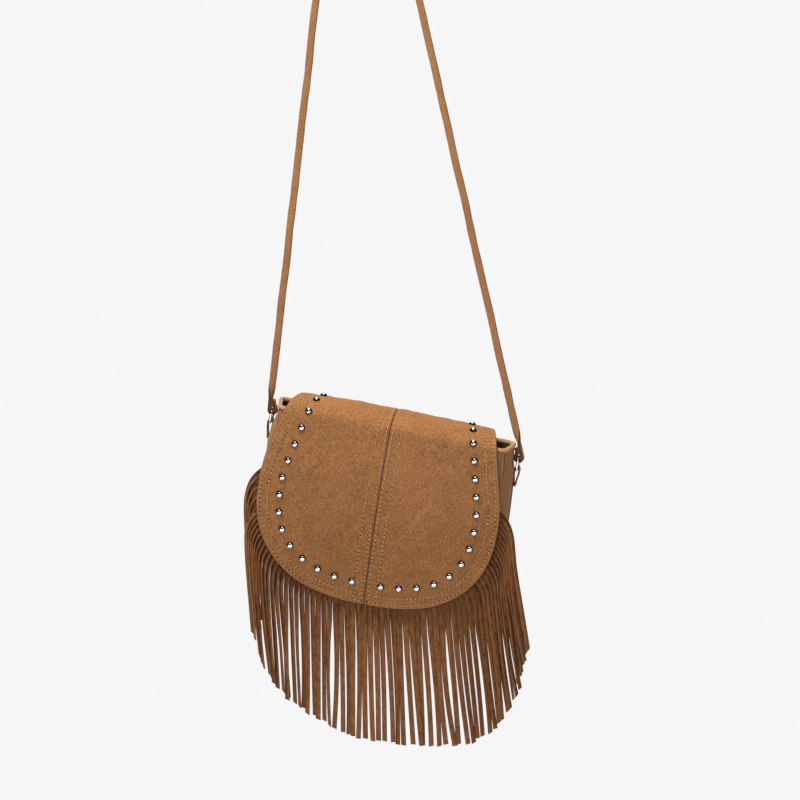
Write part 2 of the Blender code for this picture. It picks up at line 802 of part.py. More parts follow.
def add_tab(name, side, bag):
    # A short leather loop through the ring's lower bar, sewn to the gusset below it
    bar = ring_centre(side) - Vector((0, 0, RING_HEIGHT / 2))
    turn = RING_WIRE + CLEARANCE + TAB_THICKNESS / 2
    line = []
    for i in range(TAB_STEPS):
        z = bar.z - RING_WIRE - TAB_LENGTH * (1 - i / TAB_STEPS)
        seat = gusset_side(z, bar.y) + 2 * CLEARANCE + TAB_THICKNESS / 2
        rise = smooth(i / (TAB_STEPS - 1))
        line.append(Vector((side * mix(seat, ring_out() - turn, rise ** 2), bar.y, z)))
    for i in range(TAB_STEPS + 1):
        angle = pi - pi * i / TAB_STEPS
        line.append(bar + Vector((side * turn * cos(angle), 0, turn * sin(angle))))
    for i in range(TAB_STEPS - 1, -1, -1):
        inner = line[i]
        apart = TAB_THICKNESS + CLEARANCE
        rise = smooth(i / (TAB_STEPS - 1))
        line.append(inner + Vector((side * mix(apart, 2 * turn, rise), 0, 0)))
    section = rounded_section(TAB_WIDTH, TAB_THICKNESS, TAB_THICKNESS / 4)
    add_sweep(name, sweep_stations(line, lambda distance: 1), section, SUEDE, bag)


def sweep_stations(line, turned):
    # Stations along a line in an x-z plane. turned(distance) is 1 where the width lies along Y, and 0 where
    # it lies in the plane.
    distances = measure(line)
    stations = []
    for i, point in enumerate(line):
        a, b = line[max(i - 1, 0)], line[min(i + 1, len(line) - 1)]
        along = (b - a).normalized()
        flat = Vector((-along.z, 0, along.x))
        angle = pi / 2 * turned(distances[i])
        across = flat * cos(angle) + Vector((0, 1, 0)) * sin(angle)
        stations.append((point, across, along.cross(across)))
    return stations


def bag_matrix():
    turn = Matrix.Rotation(radians(HANG_TILT), 4, "Y")
    return Matrix.Translation((BAG_SHIFT, -STRAP_BACK, -BAG_DROP)) @ turn


def strap_end(side):
    # One strand in world space from its stitched end, round the ring's upper bar and up towards the peg
    bar = bag_matrix() @ (ring_centre(side) + Vector((0, 0, RING_HEIGHT / 2)))
    top = Vector((0, 0, -PEG_RADIUS))
    radius = PEG_RADIUS + STRAP_THICKNESS / 2
    turn = RING_WIRE + CLEARANCE + STRAP_THICKNESS / 2
    reach = top - bar
    lean = atan2(-side * reach.x, reach.z) - asin((radius - turn) / reach.length)
    up = Vector((-side * sin(lean), 0, cos(lean)))
    out = Vector((side * cos(lean), 0, sin(lean)))
    line = []
    apart = STRAP_THICKNESS + CLEARANCE
    # The strand's main run lies on the ring's outer side and the stitched end folds up inside it
    for i in range(RETURN_STEPS):
        share = i / RETURN_STEPS
        gap = mix(apart, 2 * turn, smooth(share))
        line.append(bar + up * STRAP_RETURN * (1 - share) + out * (turn - gap))
    for i in range(TURN_STEPS + 1):
        angle = pi - pi * i / TURN_STEPS
        line.append(bar + out * turn * cos(angle) - up * turn * sin(angle))
    tangent = top + out * radius
    foot = bar + out * turn
    run = tangent - foot
    return line, foot, run, lean


def near_ring(share):
    # Stations get closer together near the ring, where the strap turns
    return share ** STRAP_CROWDING


def strap_line():
    right, right_foot, right_run, right_lean = strap_end(1)
    left, left_foot, left_run, left_lean = strap_end(-1)
    line = list(right)
    for i in range(1, STRAND_STEPS):
        line.append(right_foot + right_run * near_ring(i / STRAND_STEPS))
    top = Vector((0, 0, -PEG_RADIUS))
    radius = PEG_RADIUS + STRAP_THICKNESS / 2
    for i in range(PEG_STEPS + 1):
        angle = mix(right_lean, pi - left_lean, i / PEG_STEPS)
        line.append(top + Vector((cos(angle), 0, sin(angle))) * radius)
    for i in range(STRAND_STEPS - 1, 0, -1):
        line.append(left_foot + left_run * near_ring(i / STRAND_STEPS))
    return line + left[::-1], len(right), len(left)


def add_strap():
    line, first, last = strap_line()
    distances = measure(line)
    start, end = distances[first - 1], distances[-last]
    middle = (start + end) / 2

    def turned(distance):
        from_ring = min(distance - start, end - distance)
        at_ring = 1 - smooth((from_ring - STRAP_RETURN) / STRAP_TWIST)
        at_peg = 1 - smooth((abs(distance - middle) - 2 * PEG_RADIUS) / STRAP_TOP_TWIST)
        return max(at_ring, at_peg)

    section = rounded_section(STRAP_WIDTH, STRAP_THICKNESS, STRAP_CORNER)
    add_sweep("strap", sweep_stations(line, turned), section, SUEDE, None)


def main():
    clear_scene()
    bag = add_empty("bag_frame", (BAG_SHIFT, -STRAP_BACK, -BAG_DROP))
    bag.rotation_euler = (0, radians(HANG_TILT), 0)
    hinge = add_empty("flap_hinge", (0, HINGE_Y + FLAP_OUTSIDE, 0), bag)
    add_panels(bag)
    add_gusset(bag)
    add_lining(bag)
    add_mouth_binding(bag)
    add_fringe(bag)
    add_flap_anchor(bag)
    add_flap(hinge)
    add_studs(hinge)
    add_snap(bag, hinge)
    for name, side in (("left", -1), ("right", 1)):
        add_ring(f"ring_{name}", side, bag)
        add_tab(f"tab_{name}", side, bag)
    add_strap()


main()
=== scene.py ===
# The looks of the fringed suede bag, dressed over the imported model.
#
# Every soft solid of the model gets a finer piece in its place, made from the same sizes and curves,
# with its cut edges, stitches, nap and small unevenness. Most pieces are made in the bag's own frame,
# with x to the viewer's right, y to the back and z up from the panels' top edge. It hangs tilted.

from functools import reduce
from math import asin, atan2, cos, hypot, pi, radians, sin, tan

import bpy
import numpy as np
from mathutils import Matrix, Vector


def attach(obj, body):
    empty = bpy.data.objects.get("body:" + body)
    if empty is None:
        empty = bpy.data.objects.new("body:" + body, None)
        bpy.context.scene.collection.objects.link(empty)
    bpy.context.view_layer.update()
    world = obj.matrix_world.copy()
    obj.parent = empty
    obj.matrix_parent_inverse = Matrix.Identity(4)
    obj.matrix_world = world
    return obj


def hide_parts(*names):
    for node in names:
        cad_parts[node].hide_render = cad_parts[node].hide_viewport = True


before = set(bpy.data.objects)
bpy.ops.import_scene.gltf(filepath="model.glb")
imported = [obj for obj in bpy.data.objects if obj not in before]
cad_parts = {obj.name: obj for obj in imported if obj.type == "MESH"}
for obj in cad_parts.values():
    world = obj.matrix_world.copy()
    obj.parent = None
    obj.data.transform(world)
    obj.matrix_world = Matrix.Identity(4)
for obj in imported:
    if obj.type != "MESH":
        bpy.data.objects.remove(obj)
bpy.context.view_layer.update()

# Sizes of the model, in metres and degrees
CLEARANCE = 0.0003

HANG_TILT = 11.9
BAG_DROP = 0.6015
BAG_SHIFT = 0.0106
STRAP_BACK = 0.0155

BODY_HEIGHT = 0.153
FRONT_MOUTH_HALF = 0.098
FRONT_WIDE_HALF = 0.1035
BACK_MOUTH_HALF = 0.1065
BACK_WIDE_HALF = 0.1105
WIDE_DROP = 0.075
OUTLINE_POWER = 2.4
MOUTH_DEPTH = 0.044
BASE_FRONT = 0.009
BELLY = 0.007
EDGE_FALL = 0.0046
EDGE_FALL_POWER = 3
PANEL_THICKNESS = 0.0016
GUSSET_THICKNESS = 0.0014
GUSSET_BULGE = 0.004
GUSSET_BULGE_START = 0.03
GUSSET_OVERHANG = 0.0004
LINING_THICKNESS = 0.0008
BINDING_RADIUS = 0.0016

FRINGE_THICKNESS = 0.001
FRINGE_PITCH = 0.005
FRINGE_SLIT = 0.0005
FRINGE_LENGTH = 0.131
FRINGE_LONGER_RIGHT = 0.016
FRINGE_START_DROP = 0.048
FRINGE_HEADER = 0.005
FRINGE_BEND_LOW = 0.0121
FRINGE_DROP_PULL = 1.25
FRINGE_REACH = 0.0108
FRINGE_HANG_GAP = 0.0004
FRINGE_BACK_LAYER = 0.0056
FRINGE_BACK_ANGLE = 97.0
FRINGE_SPLAY_RIGHT = 11.0
FRINGE_SPLAY_LEFT = 2.0
FRINGE_SPLAY_POWER = 1.3

FLAP_OUTER_THICKNESS = 0.0013
FLAP_LINING_THICKNESS = 0.0009
FLAP_CREST_HALF = 0.0892
FLAP_FLARE = 0.226
FLAP_EASE = 0.025
FLAP_WIDE_AT = 0.0969
FLAP_LENGTH = 0.193
FLAP_POWER = 2.45
FLAP_CREST_HEIGHT = 0.015
FLAP_SEAM_GAP = 0.0006
FLAP_LINING_INSET = 0.0015
ANCHOR_HEIGHT = 0.012

STUD_RADIUS = 0.003
STUD_HEIGHT = 0.0023
STUD_RIM = 0.00025
STUDS_A_SIDE = 16
STUD_CENTRE_GAP = 0.026
STUD_INSET = 0.0202
STUD_LAST = -0.0214

SNAP_SOCKET_THICKNESS = 0.0013
SNAP_STUD_THICKNESS = 0.001

STRAP_WIDTH = 0.0064
STRAP_THICKNESS = 0.0026
STRAP_RETURN = 0.009
STRAP_TOP_TWIST = 0.2
PEG_RADIUS = 0.008

RING_WIRE = 0.00125
RING_WIDTH = 0.0115
RING_HEIGHT = 0.0105
RING_CORNER = 0.0025
RING_DROP = 0.009
RING_GAP = 0.0037
TAB_WIDTH = 0.0068
TAB_THICKNESS = 0.0012
TAB_LENGTH = 0.014

# Sizes of the looks
STITCH_PITCH = 0.004
THREAD_RADIUS = 0.00042
STITCH_SLANT = 0.0007
EDGE_ROWS = (0.0032, 0.0099)
SEAM_ROWS = (0.0028, 0.0105)
PANEL_ROW = 0.0034
ANCHOR_ROWS = (0.003, 0.0075)
ANCHOR_ROW_END = 0.003
TAB_ROW_END = 0.0012
STRAP_ROW_END = 0.0013
ROW_SINK = 0.00012
PANEL_EVEN_EDGE = 0.02
LINING_SLACK = 0.0011
LINING_SLACK_FROM = 0.03
FLAP_BORDER = 0.012
FLAP_BORDER_EASE = 0.004
FLAP_BORDER_RAISED = 0.0002
FLAP_EDGE_ROLL = 0.0005
FLAP_SEAM_ROLL = 0.0006
STUD_DENT = 0.00028
STUD_DENT_WIDTH = 0.0013
SNAP_ROUNDING = 0.00015
RIM_GROOVE = 0.0005
NAP_SCALE = 720.0
STRAND_WIDTH = 0.0048
STRAND_FACING = 0.68
STRAND_DROOP = 0.9
STRAND_LEAN = 0.0014
STRAND_BOW = 0.0008
STRAND_WAVE = 0.0004
STRAND_LAYER = 0.0007
STRAND_CURL = 0.0002
STRAND_PAIR = 0.0007
STRAND_PAIR_DEPTH = 0.0021
STRAND_BEND_SIDE = 0.034
STRAND_PULL = 0.42
STRAND_SET_BACK = 0.0008
STRAND_TWIST = 13.0
# Painted shade on the outer half of edge-on strands, and a painted highlight on their near edge
STRAND_SHADED_HALF = 7.4
STRAND_LIT_EDGE = 2.0
STRAND_TOO_SHORT = 0.002
STRAND_TOO_LONG = 0.001
FRINGE_FAN = 0.13
FRINGE_BOW_RIGHT = 0.0016
FRINGE_BOW_LEFT = 0.0014
FRINGE_DIP = 0.0035
FRINGE_DIP_AT = 0.048
FRINGE_DIP_WIDTH = 0.024
FRINGE_TRIM_LEFT = 0.0085
FRINGE_TRIM_RIGHT = 0.012
MOUTH_CORNER = 0.0085
MOUTH_CORNER_DEPTH = 0.03
MOUTH_SPREAD_RIGHT = 0.007
MOUTH_SPREAD_LEFT = 0.0056
MOUTH_SPREAD_DEPTH_RIGHT = 0.055
MOUTH_SPREAD_DEPTH_LEFT = 0.026
STRAP_TURN = 0.019
STRAP_LOOSE_FROM_RING = 0.03
STRAP_LOOSE_FROM_TOP = 0.04
STRAP_LOOSE_EASE = 0.05
# the share of a dome's radius beyond which its rim gets painted shadow
STUD_RIM_SHADOW_FROM = 0.9

# Sizes that follow from the others
BACK_FACE = MOUTH_DEPTH / 2
FLAP_INSIDE = CLEARANCE / 2 + FLAP_LINING_THICKNESS
FLAP_OUTSIDE = CLEARANCE / 2 + FLAP_OUTER_THICKNESS
FLAP_STANDOFF = FLAP_INSIDE + SNAP_SOCKET_THICKNESS + SNAP_STUD_THICKNESS + 3 * CLEARANCE
HINGE_Y = BACK_FACE + CLEARANCE + FLAP_INSIDE
FLAP_FRONT = MOUTH_DEPTH / 2 + FLAP_STANDOFF
BAG = Matrix.Translation((BAG_SHIFT, -STRAP_BACK, -BAG_DROP)) @ Matrix.Rotation(radians(HANG_TILT), 4, "Y")

# The photo's view
CAMERA_AZIMUTH = 10.0
CAMERA_ELEVATION = 11.0
CAMERA_ROLL = -2.7
CAMERA_DISTANCE = 12.0
CAMERA_LENS = 613.6
CAMERA_AIM = (BAG_SHIFT, -0.02, -BAG_DROP)
CAMERA_ACROSS = 0.0056
CAMERA_ABOVE = 0.0248

BACKDROP = (246, 246, 246)
LAMPS_AIM = (0.01, 0, -0.68)


def mix(a, b, share):
    return a + (b - a) * share


def smooth(share):
    share = np.clip(share, 0, 1)
    return share * share * (3 - 2 * share)


def hump(distance, width):
    # 1 where the distance is 0, and little beyond the width
    return np.exp(-((distance / width) ** 2))


def always(points, x, y, z):
    # The same direction for each of those points
    return np.tile((float(x), float(y), float(z)), (len(points), 1))


def unit(vectors):
    return vectors / np.maximum(np.linalg.norm(vectors, axis=-1, keepdims=True), 1e-12)


def tone(red, green, blue):
    # A colour as it shows on the screen, 0 to 255, in the renderer's own linear values
    shares = [value / 255 for value in (red, green, blue)]
    return tuple(((share + 0.055) / 1.055) ** 2.4 if share > 0.0405 else share / 12.92 for share in shares)


def uneven(points, height, size, seed, waves=8):
    # A smooth unevenness of about that height either way, with bumps of about that size
    dice = np.random.default_rng(seed)
    total = np.zeros(points.shape[:-1])
    for _ in range(waves):
        direction = unit(dice.normal(size=points.shape[-1])) * 2 * pi / (size * dice.uniform(0.7, 1.5))
        total += np.sin(points @ direction + dice.uniform(0, 2 * pi))
    return height * total / waves ** 0.5


def measure(points):
    steps = np.linalg.norm(np.diff(np.asarray(points, float), axis=0), axis=1)
    return np.concatenate([[0.0], np.cumsum(steps)])


def resample(points, count):
    # Points evenly spaced along a line
    points = np.asarray(points, float)
    distances = measure(points)
    wanted = np.linspace(0, distances[-1], count)
    return np.stack([np.interp(wanted, distances, column) for column in points.T], axis=1)


def directions(points, closed=False):
    points = np.asarray(points, float)
    if closed:
        return unit(np.roll(points, -1, axis=0) - np.roll(points, 1, axis=0))
    return unit(np.gradient(points, axis=0))


# Meshes


class Shape:
    # Points, faces and named values at the points, gathered from one or more parts

    def __init__(self):
        self.points = []
        self.faces = []
        self.values = []
        self.count = 0

    def add(self, points, faces, **values):
        points = np.asarray(points, float).reshape(-1, 3)
        self.points.append(points)
        self.faces += [[i + self.count for i in face] for face in faces]
        self.values.append({key: np.broadcast_to(value, len(points)) for key, value in values.items()})
        self.count += len(points)

    def warp(self, change):
        self.points = [change(points) for points in self.points]

    def finish(self, name, finish, body, nodes=(), matrix=BAG, sharp=None):
        mesh = bpy.data.meshes.new(name)
        turn = np.array(matrix)
        points = np.concatenate(self.points) @ turn[:3, :3].T + turn[:3, 3]
        mesh.from_pydata(points.tolist(), [], self.faces)
        for key in {key for part in self.values for key in part}:
            whole = [part.get(key, np.zeros(len(points))) for part, points in zip(self.values, self.points)]
            attribute = mesh.attributes.new(key, "FLOAT", "POINT")
            attribute.data.foreach_set("value", np.concatenate(whole).astype(np.float32))
        mesh.validate()
        mesh.shade_smooth()
        if sharp:
            mesh.set_sharp_from_angle(angle=radians(sharp))
        mesh.materials.append(finish)
        made = bpy.data.objects.new(name, mesh)
        bpy.context.scene.collection.objects.link(made)
        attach(made, body)
        if nodes:
            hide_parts(*nodes)
        return made


def grid_faces(rows, columns, start=0, closed=False, flip=False):
    faces = []
    for i in range(rows - 1):
        for j in range(columns if closed else columns - 1):
            a, b = start + i * columns + j, start + i * columns + (j + 1) % columns
            face = [a, b, b + columns, a + columns]
            faces.append(face[::-1] if flip else face)
    return faces


def border(rows, columns):
    # The places round the edge of a grid, and for each the place just inside it
    top = [(0, j) for j in range(columns)]
    right = [(i, columns - 1) for i in range(1, rows)]
    bottom = [(rows - 1, j) for j in range(columns - 2, -1, -1)]
    left = [(i, 0) for i in range(rows - 2, 0, -1)]
    loop = top + right + bottom + left
    inside = [(min(max(i, 1), rows - 2), min(max(j, 1), columns - 2)) for i, j in loop]
    return np.array(loop), np.array(inside)


def add_skin(shape, outer, inner, bulge=0.35, steps=3, **values):
    # A thick sheet from two grids of points, closed by a rounded edge that is marked as cut
    rows, columns = outer.shape[:2]
    size = rows * columns
    loop, inside = border(rows, columns)
    edge_out, edge_in = outer[loop[:, 0], loop[:, 1]], inner[loop[:, 0], loop[:, 1]]
    away = unit(edge_out - outer[inside[:, 0], inside[:, 1]])
    half = (edge_out - edge_in) / 2
    reach = np.linalg.norm(half, axis=1, keepdims=True) * 2 * bulge
    rings = []
    for k in range(1, steps + 1):
        angle = pi * k / (steps + 1)
        rings.append((edge_out + edge_in) / 2 + half * cos(angle) + away * reach * sin(angle))
    faces = grid_faces(rows, columns) + grid_faces(rows, columns, start=size, flip=True)
    flat = (loop[:, 0] * columns + loop[:, 1]).tolist()
    length = len(flat)
    lines = [flat] + [[2 * size + k * length + i for i in range(length)] for k in range(steps)]
    lines.append([size + i for i in flat])
    for upper, lower in zip(lines, lines[1:]):
        for i in range(length):
            j = (i + 1) % length
            faces.append([upper[j], upper[i], lower[i], lower[j]])
    points = np.concatenate([outer.reshape(-1, 3), inner.reshape(-1, 3)] + rings)
    whole = {"cut": np.concatenate([np.zeros(2 * size), np.ones(steps * length)])}
    for key, value in values.items():
        value = np.broadcast_to(value, (rows, columns))
        round_edge = value[loop[:, 0], loop[:, 1]]
        whole[key] = np.concatenate([value.ravel(), value.ravel()] + [round_edge] * steps)
    shape.add(points, faces, **whole)


def add_sweep(shape, centres, across, through, section, closed=False, **values):
    # A section of (across, through) carried along a line. Values are given for each point of the section.
    section = np.asarray(section, float)
    if section.ndim == 2:
        section = np.broadcast_to(section, (len(centres), *section.shape))
    points = centres[:, None] + across[:, None] * section[..., :1] + through[:, None] * section[..., 1:]
    rows, columns = points.shape[:2]
    faces = grid_faces(rows, columns, closed=True)
    if closed:
        for j in range(columns):
            k = (j + 1) % columns
            faces.append([(rows - 1) * columns + j, (rows - 1) * columns + k, k, j])
    else:
        faces.append(list(range(columns))[::-1])
        faces.append([(rows - 1) * columns + j for j in range(columns)])
    whole = {key: np.broadcast_to(value, (rows, columns)).ravel() for key, value in values.items()}
    shape.add(points, faces, **whole)


def rounded_section(width, thickness, corner, steps=2):
    # A rounded bar's section, and for each of its points 1 on the narrow sides
    points, cut = [], []
    a, b = width / 2 - corner, thickness / 2 - corner
    for quarter, (x, y) in enumerate(((a, b), (-a, b), (-a, -b), (a, -b))):
        for i in range(steps + 1):
            angle = pi / 2 * (quarter + i / steps)
            points.append((x + corner * cos(angle), y + corner * sin(angle)))
            cut.append(1.0 if abs(cos(angle)) > 0.6 else 0.0)
    return np.array(points), np.array(cut)


def round_section(radius, sides=16):
    angles = 2 * pi * np.arange(sides) / sides
    return np.stack([radius * np.cos(angles), radius * np.sin(angles)], axis=1)


def add_turned(shape, profile, steps, matrix, **values):
    # A solid turned about its own z axis from a profile of (radius, height)
    profile = np.asarray(profile, float)
    angles = 2 * pi * np.arange(steps) / steps
    ring = np.stack([np.cos(angles), np.sin(angles)], axis=1)
    points = np.zeros((len(profile), steps, 3))
    points[..., :2] = profile[:, None, :1] * ring
    points[..., 2] = profile[:, None, 1]
    turn = np.array(matrix)
    placed = points.reshape(-1, 3) @ turn[:3, :3].T + turn[:3, 3]
    faces = grid_faces(len(profile), steps, closed=True)
    faces.append(list(range(steps))[::-1])
    faces.append([(len(profile) - 1) * steps + j for j in range(steps)])
    shape.add(placed, faces, **{key: np.repeat(value, steps) for key, value in values.items()})


def add_stitches(shape, holes, outward, sides=6, stations=7):
    # A row of stitches from hole to hole, each bowed out of the leather, with its ends sunk in the holes
    starts, ends = holes[:-1], holes[1:]
    out = unit(outward[:-1] + outward[1:])
    across = unit(np.cross(out, ends - starts))
    share = np.linspace(0, 1, stations)
    lift = THREAD_RADIUS * (2.1 * np.sin(pi * share) ** 0.5 - 1.5)
    centre = starts[:, None] + (ends - starts)[:, None] * mix(0.1, 0.9, share)[None, :, None]
    centre = centre + out[:, None] * lift[None, :, None]
    centre = centre + across[:, None] * (share - 0.5)[None, :, None] * STITCH_SLANT
    angles = 2 * pi * np.arange(sides) / sides
    size = THREAD_RADIUS * mix(0.6, 1.0, np.sin(pi * share) ** 0.6)
    ring = across[:, None, None] * np.cos(angles)[None, None, :, None]
    ring = ring + out[:, None, None] * np.sin(angles)[None, None, :, None] * 0.85
    points = centre[:, :, None] + ring * size[None, :, None, None]
    faces = []
    for i in range(len(starts)):
        start = i * stations * sides
        faces += grid_faces(stations, sides, start=start, closed=True)
        faces.append(list(range(start, start + sides))[::-1])
        faces.append(list(range(start + (stations - 1) * sides, start + stations * sides)))
    shape.add(points, faces)


# Materials


class Nodes:
    # A short way to write a node tree

    def __init__(self, tree):
        self.nodes = tree.nodes
        self.links = tree.links

    def feed(self, socket, value):
        if hasattr(value, "is_output"):
            self.links.new(value, socket)
        else:
            socket.default_value = value

    def math(self, operation, a, b=0.0, c=0.0, clamp=False):
        node = self.nodes.new("ShaderNodeMath")
        node.operation = operation
        node.use_clamp = clamp
        for socket, value in zip(node.inputs, (a, b, c)):
            self.feed(socket, value)
        return node.outputs[0]

    def remap(self, value, low, high, new_low=0.0, new_high=1.0):
        node = self.nodes.new("ShaderNodeMapRange")
        node.interpolation_type = "SMOOTHSTEP"
        for socket, number in zip(node.inputs, (value, low, high, new_low, new_high)):
            self.feed(socket, number)
        return node.outputs[0]

    def largest(self, values):
        return reduce(lambda a, b: self.math("MAXIMUM", a, b), values)

    def total(self, *values):
        return reduce(lambda a, b: self.math("ADD", a, b), values)


class Finish(Nodes):
    # A material and a short way to write its nodes

    def __init__(self, name, slot):
        self.material = bpy.data.materials.new(name)
        self.material.use_nodes = True
        self.material["slot"] = slot
        super().__init__(self.material.node_tree)
        self.shader = self.nodes["Principled BSDF"]
        self.place = self.nodes.new("ShaderNodeTexCoord").outputs["Object"]

    def put(self, socket, value):
        if isinstance(value, tuple) and len(value) == 3:
            value = (*value, 1)
        self.feed(self.shader.inputs[socket], value)

    def mix(self, share, a, b, way="MIX"):
        node = self.nodes.new("ShaderNodeMix")
        node.data_type = "RGBA"
        node.blend_type = way
        self.feed(node.inputs["Factor"], share)
        self.feed(node.inputs["A"], (*a, 1) if isinstance(a, tuple) else a)
        self.feed(node.inputs["B"], (*b, 1) if isinstance(b, tuple) else b)
        return node.outputs["Result"]

    def noise(self, scale, detail=2.0, roughness=0.5, stretch=None):
        node = self.nodes.new("ShaderNodeTexNoise")
        node.inputs["Scale"].default_value = scale
        node.inputs["Detail"].default_value = detail
        node.inputs["Roughness"].default_value = roughness
        self.links.new(self.stretched(stretch), node.inputs["Vector"])
        return node.outputs["Fac"]

    def stretched(self, stretch):
        if stretch is None:
            return self.place
        node = self.nodes.new("ShaderNodeVectorMath")
        node.operation = "MULTIPLY"
        node.inputs[1].default_value = stretch
        self.links.new(self.place, node.inputs[0])
        return node.outputs[0]

    def attribute(self, name):
        node = self.nodes.new("ShaderNodeAttribute")
        node.attribute_name = name
        return node.outputs["Fac"]

    def bump(self, height, strength, distance):
        node = self.nodes.new("ShaderNodeBump")
        self.feed(node.inputs["Strength"], strength)
        self.feed(node.inputs["Distance"], distance)
        self.feed(node.inputs["Height"], height)
        self.feed(self.shader.inputs["Normal"], node.outputs[0])


def suede(name, slot, base, pale, dark, edge, contrast=1.0):
    # Napped suede: a fine speckle of fibres, brushed patches, and a cut edge of its own colour
    finish = Finish(name, slot)
    fibres = finish.noise(NAP_SCALE, 3.0, 0.62)
    speckle = finish.noise(NAP_SCALE * 1.9, 2.0, 0.6)
    patches = finish.noise(70.0, 3.0, 0.55)
    brushed = finish.noise(17.0, 2.0, 0.5)
    colour = finish.mix(finish.remap(fibres, 0.36, 0.64), dark, pale)
    colour = finish.mix(0.62 - 0.22 * (contrast - 1), colour, base)
    flecks = finish.remap(speckle, 0.34, 0.66, -0.2 * contrast, 0.2 * contrast)
    cloud = finish.remap(patches, 0.3, 0.7, -0.045, 0.045)
    sweep = finish.remap(brushed, 0.3, 0.7, -0.045, 0.045)
    # the shade attribute: painted shade on the mouth rim and the strands, painted highlights on the
    # strands, a paler band on the rim, and each strand's random tone
    own = finish.math("MULTIPLY", finish.attribute("shade"), 0.13)
    shade = finish.total(flecks, cloud, sweep, 1.0, own)
    colour = finish.mix(1.0, colour, grey_of(finish, shade), "MULTIPLY")
    cut = finish.remap(finish.attribute("cut"), 0.25, 0.9)
    rough_edge = finish.mix(finish.remap(fibres, 0.4, 0.6), edge, tuple(c * 0.7 for c in edge))
    colour = finish.mix(cut, colour, rough_edge)
    height = finish.total(finish.math("MULTIPLY", fibres, 0.6), finish.math("MULTIPLY", speckle, 0.4))
    return finish, colour, height


def grey_of(finish, value):
    node = finish.nodes.new("ShaderNodeCombineColor")
    for socket in node.inputs:
        finish.feed(socket, value)
    return node.outputs[0]


def close_suede(finish, colour, height, strength=0.35):
    finish.put("Base Color", colour)
    finish.put("Roughness", finish.remap(height, 0.3, 0.7, 0.82, 0.96))
    finish.put("Specular IOR Level", 0.2)
    finish.put("Sheen Weight", 0.22)
    finish.put("Sheen Roughness", 0.45)
    finish.put("Sheen Tint", tone(214, 168, 124))
    finish.bump(height, strength, 0.0005)
    return finish.material


def dotted_rows(finish, gap, run, rows):
    # Where the needle has gone through, beside an edge: 1 in a hole
    holes = 0.0
    phase = finish.math("FRACT", finish.math("DIVIDE", run, STITCH_PITCH))
    step = finish.math("MULTIPLY", finish.math("PINGPONG", phase, 0.5), STITCH_PITCH)
    for row in rows:
        aside = finish.math("SUBTRACT", gap, row)
        square = finish.total(finish.math("POWER", aside, 2.0), finish.math("POWER", step, 2.0))
        far = finish.math("SQRT", square)
        holes = finish.math("MAXIMUM", holes, finish.remap(far, 0.0004, 0.00105, 1.0, 0.0))
    return holes


def flap_finish():
    finish, colour, height = suede(
        "flap_suede", "suede", FLAP_TONE, FLAP_PALE, FLAP_DARK, tone(112, 68, 52), contrast=1.25
    )
    edge_gap, seam_gap = finish.attribute("edge_gap"), finish.attribute("seam_gap")
    edge_holes = dotted_rows(finish, edge_gap, finish.attribute("edge_run"), EDGE_ROWS)
    seam_holes = dotted_rows(finish, seam_gap, finish.attribute("seam_run"), SEAM_ROWS)
    holes = finish.math("MAXIMUM", edge_holes, seam_holes)
    # painted shade in the needle holes, as dark pits; the same mask also sinks them in the bump below
    colour = finish.mix(finish.math("MULTIPLY", holes, 0.85), colour, tone(66, 36, 20))
    # a paler band along the flap's edge
    paler_band = finish.remap(edge_gap, 0.0008, 0.0016, 0.6, 0.0)
    colour = finish.mix(paler_band, colour, tone(176, 130, 100))
    rim = finish.remap(edge_gap, 0.0002, 0.0007, 0.75, 0.0)
    colour = finish.mix(rim, colour, tone(92, 52, 40))
    seam = finish.remap(seam_gap, 0.0002, 0.0007, 0.9, 0.0)
    colour = finish.mix(seam, colour, tone(62, 38, 32))
    height = finish.math("SUBTRACT", height, finish.math("MULTIPLY", holes, 1.4))
    return close_suede(finish, colour, height, 0.5)


def plain_suede(*tones):
    return close_suede(*suede(*tones))


def fringe_finish():
    edge = tone(70, 37, 20)
    tones = (STRAND_TONE, STRAND_PALE, STRAND_DARK)
    finish, colour, height = suede("strand_suede", "fringe_suede", *tones, edge, contrast=1.5)
    streaks = finish.noise(420.0, 2.0, 0.6, stretch=(1.0, 1.0, 0.3))
    streaked = finish.mix(finish.remap(streaks, 0.35, 0.65), STRAND_DARK, STRAND_PALE)
    return close_suede(finish, finish.mix(0.35, colour, streaked), height)


def thread_finish():
    finish = Finish("waxed_thread", "suede")
    fibres = finish.noise(2600.0, 2.0, 0.6)
    colour = finish.mix(finish.remap(fibres, 0.35, 0.65), tone(180, 126, 76), tone(216, 162, 108))
    finish.put("Base Color", colour)
    finish.put("Roughness", finish.remap(fibres, 0.3, 0.7, 0.5, 0.75))
    finish.put("Sheen Weight", 0.1)
    finish.bump(fibres, 0.4, 0.0002)
    return finish.material


def cloth_finish():
    # A dark plain weave, with its threads at about half a millimetre
    finish = Finish("lining_cloth", "lining_fabric")
    warp = wave(finish, "X", 300.0)
    weft = wave(finish, "Z", 300.0)
    weave = finish.math("MULTIPLY", warp, weft)
    worn = finish.noise(40.0, 3.0, 0.6)
    colour = finish.mix(weave, tone(40, 29, 22), tone(72, 54, 41))
    colour = finish.mix(finish.remap(worn, 0.4, 0.7, 0.0, 0.35), colour, tone(86, 66, 50))
    finish.put("Base Color", colour)
    finish.put("Roughness", finish.remap(worn, 0.3, 0.7, 0.75, 0.9))
    finish.put("Sheen Weight", 0.15)
    finish.bump(weave, 0.5, 0.0003)
    return finish.material


def wave(finish, direction, scale):
    node = finish.nodes.new("ShaderNodeTexWave")
    node.bands_direction = direction
    node.inputs["Scale"].default_value = scale
    node.inputs["Distortion"].default_value = 0.6
    node.inputs["Detail"].default_value = 1.0
    finish.links.new(finish.place, node.inputs["Vector"])
    return node.outputs["Fac"]


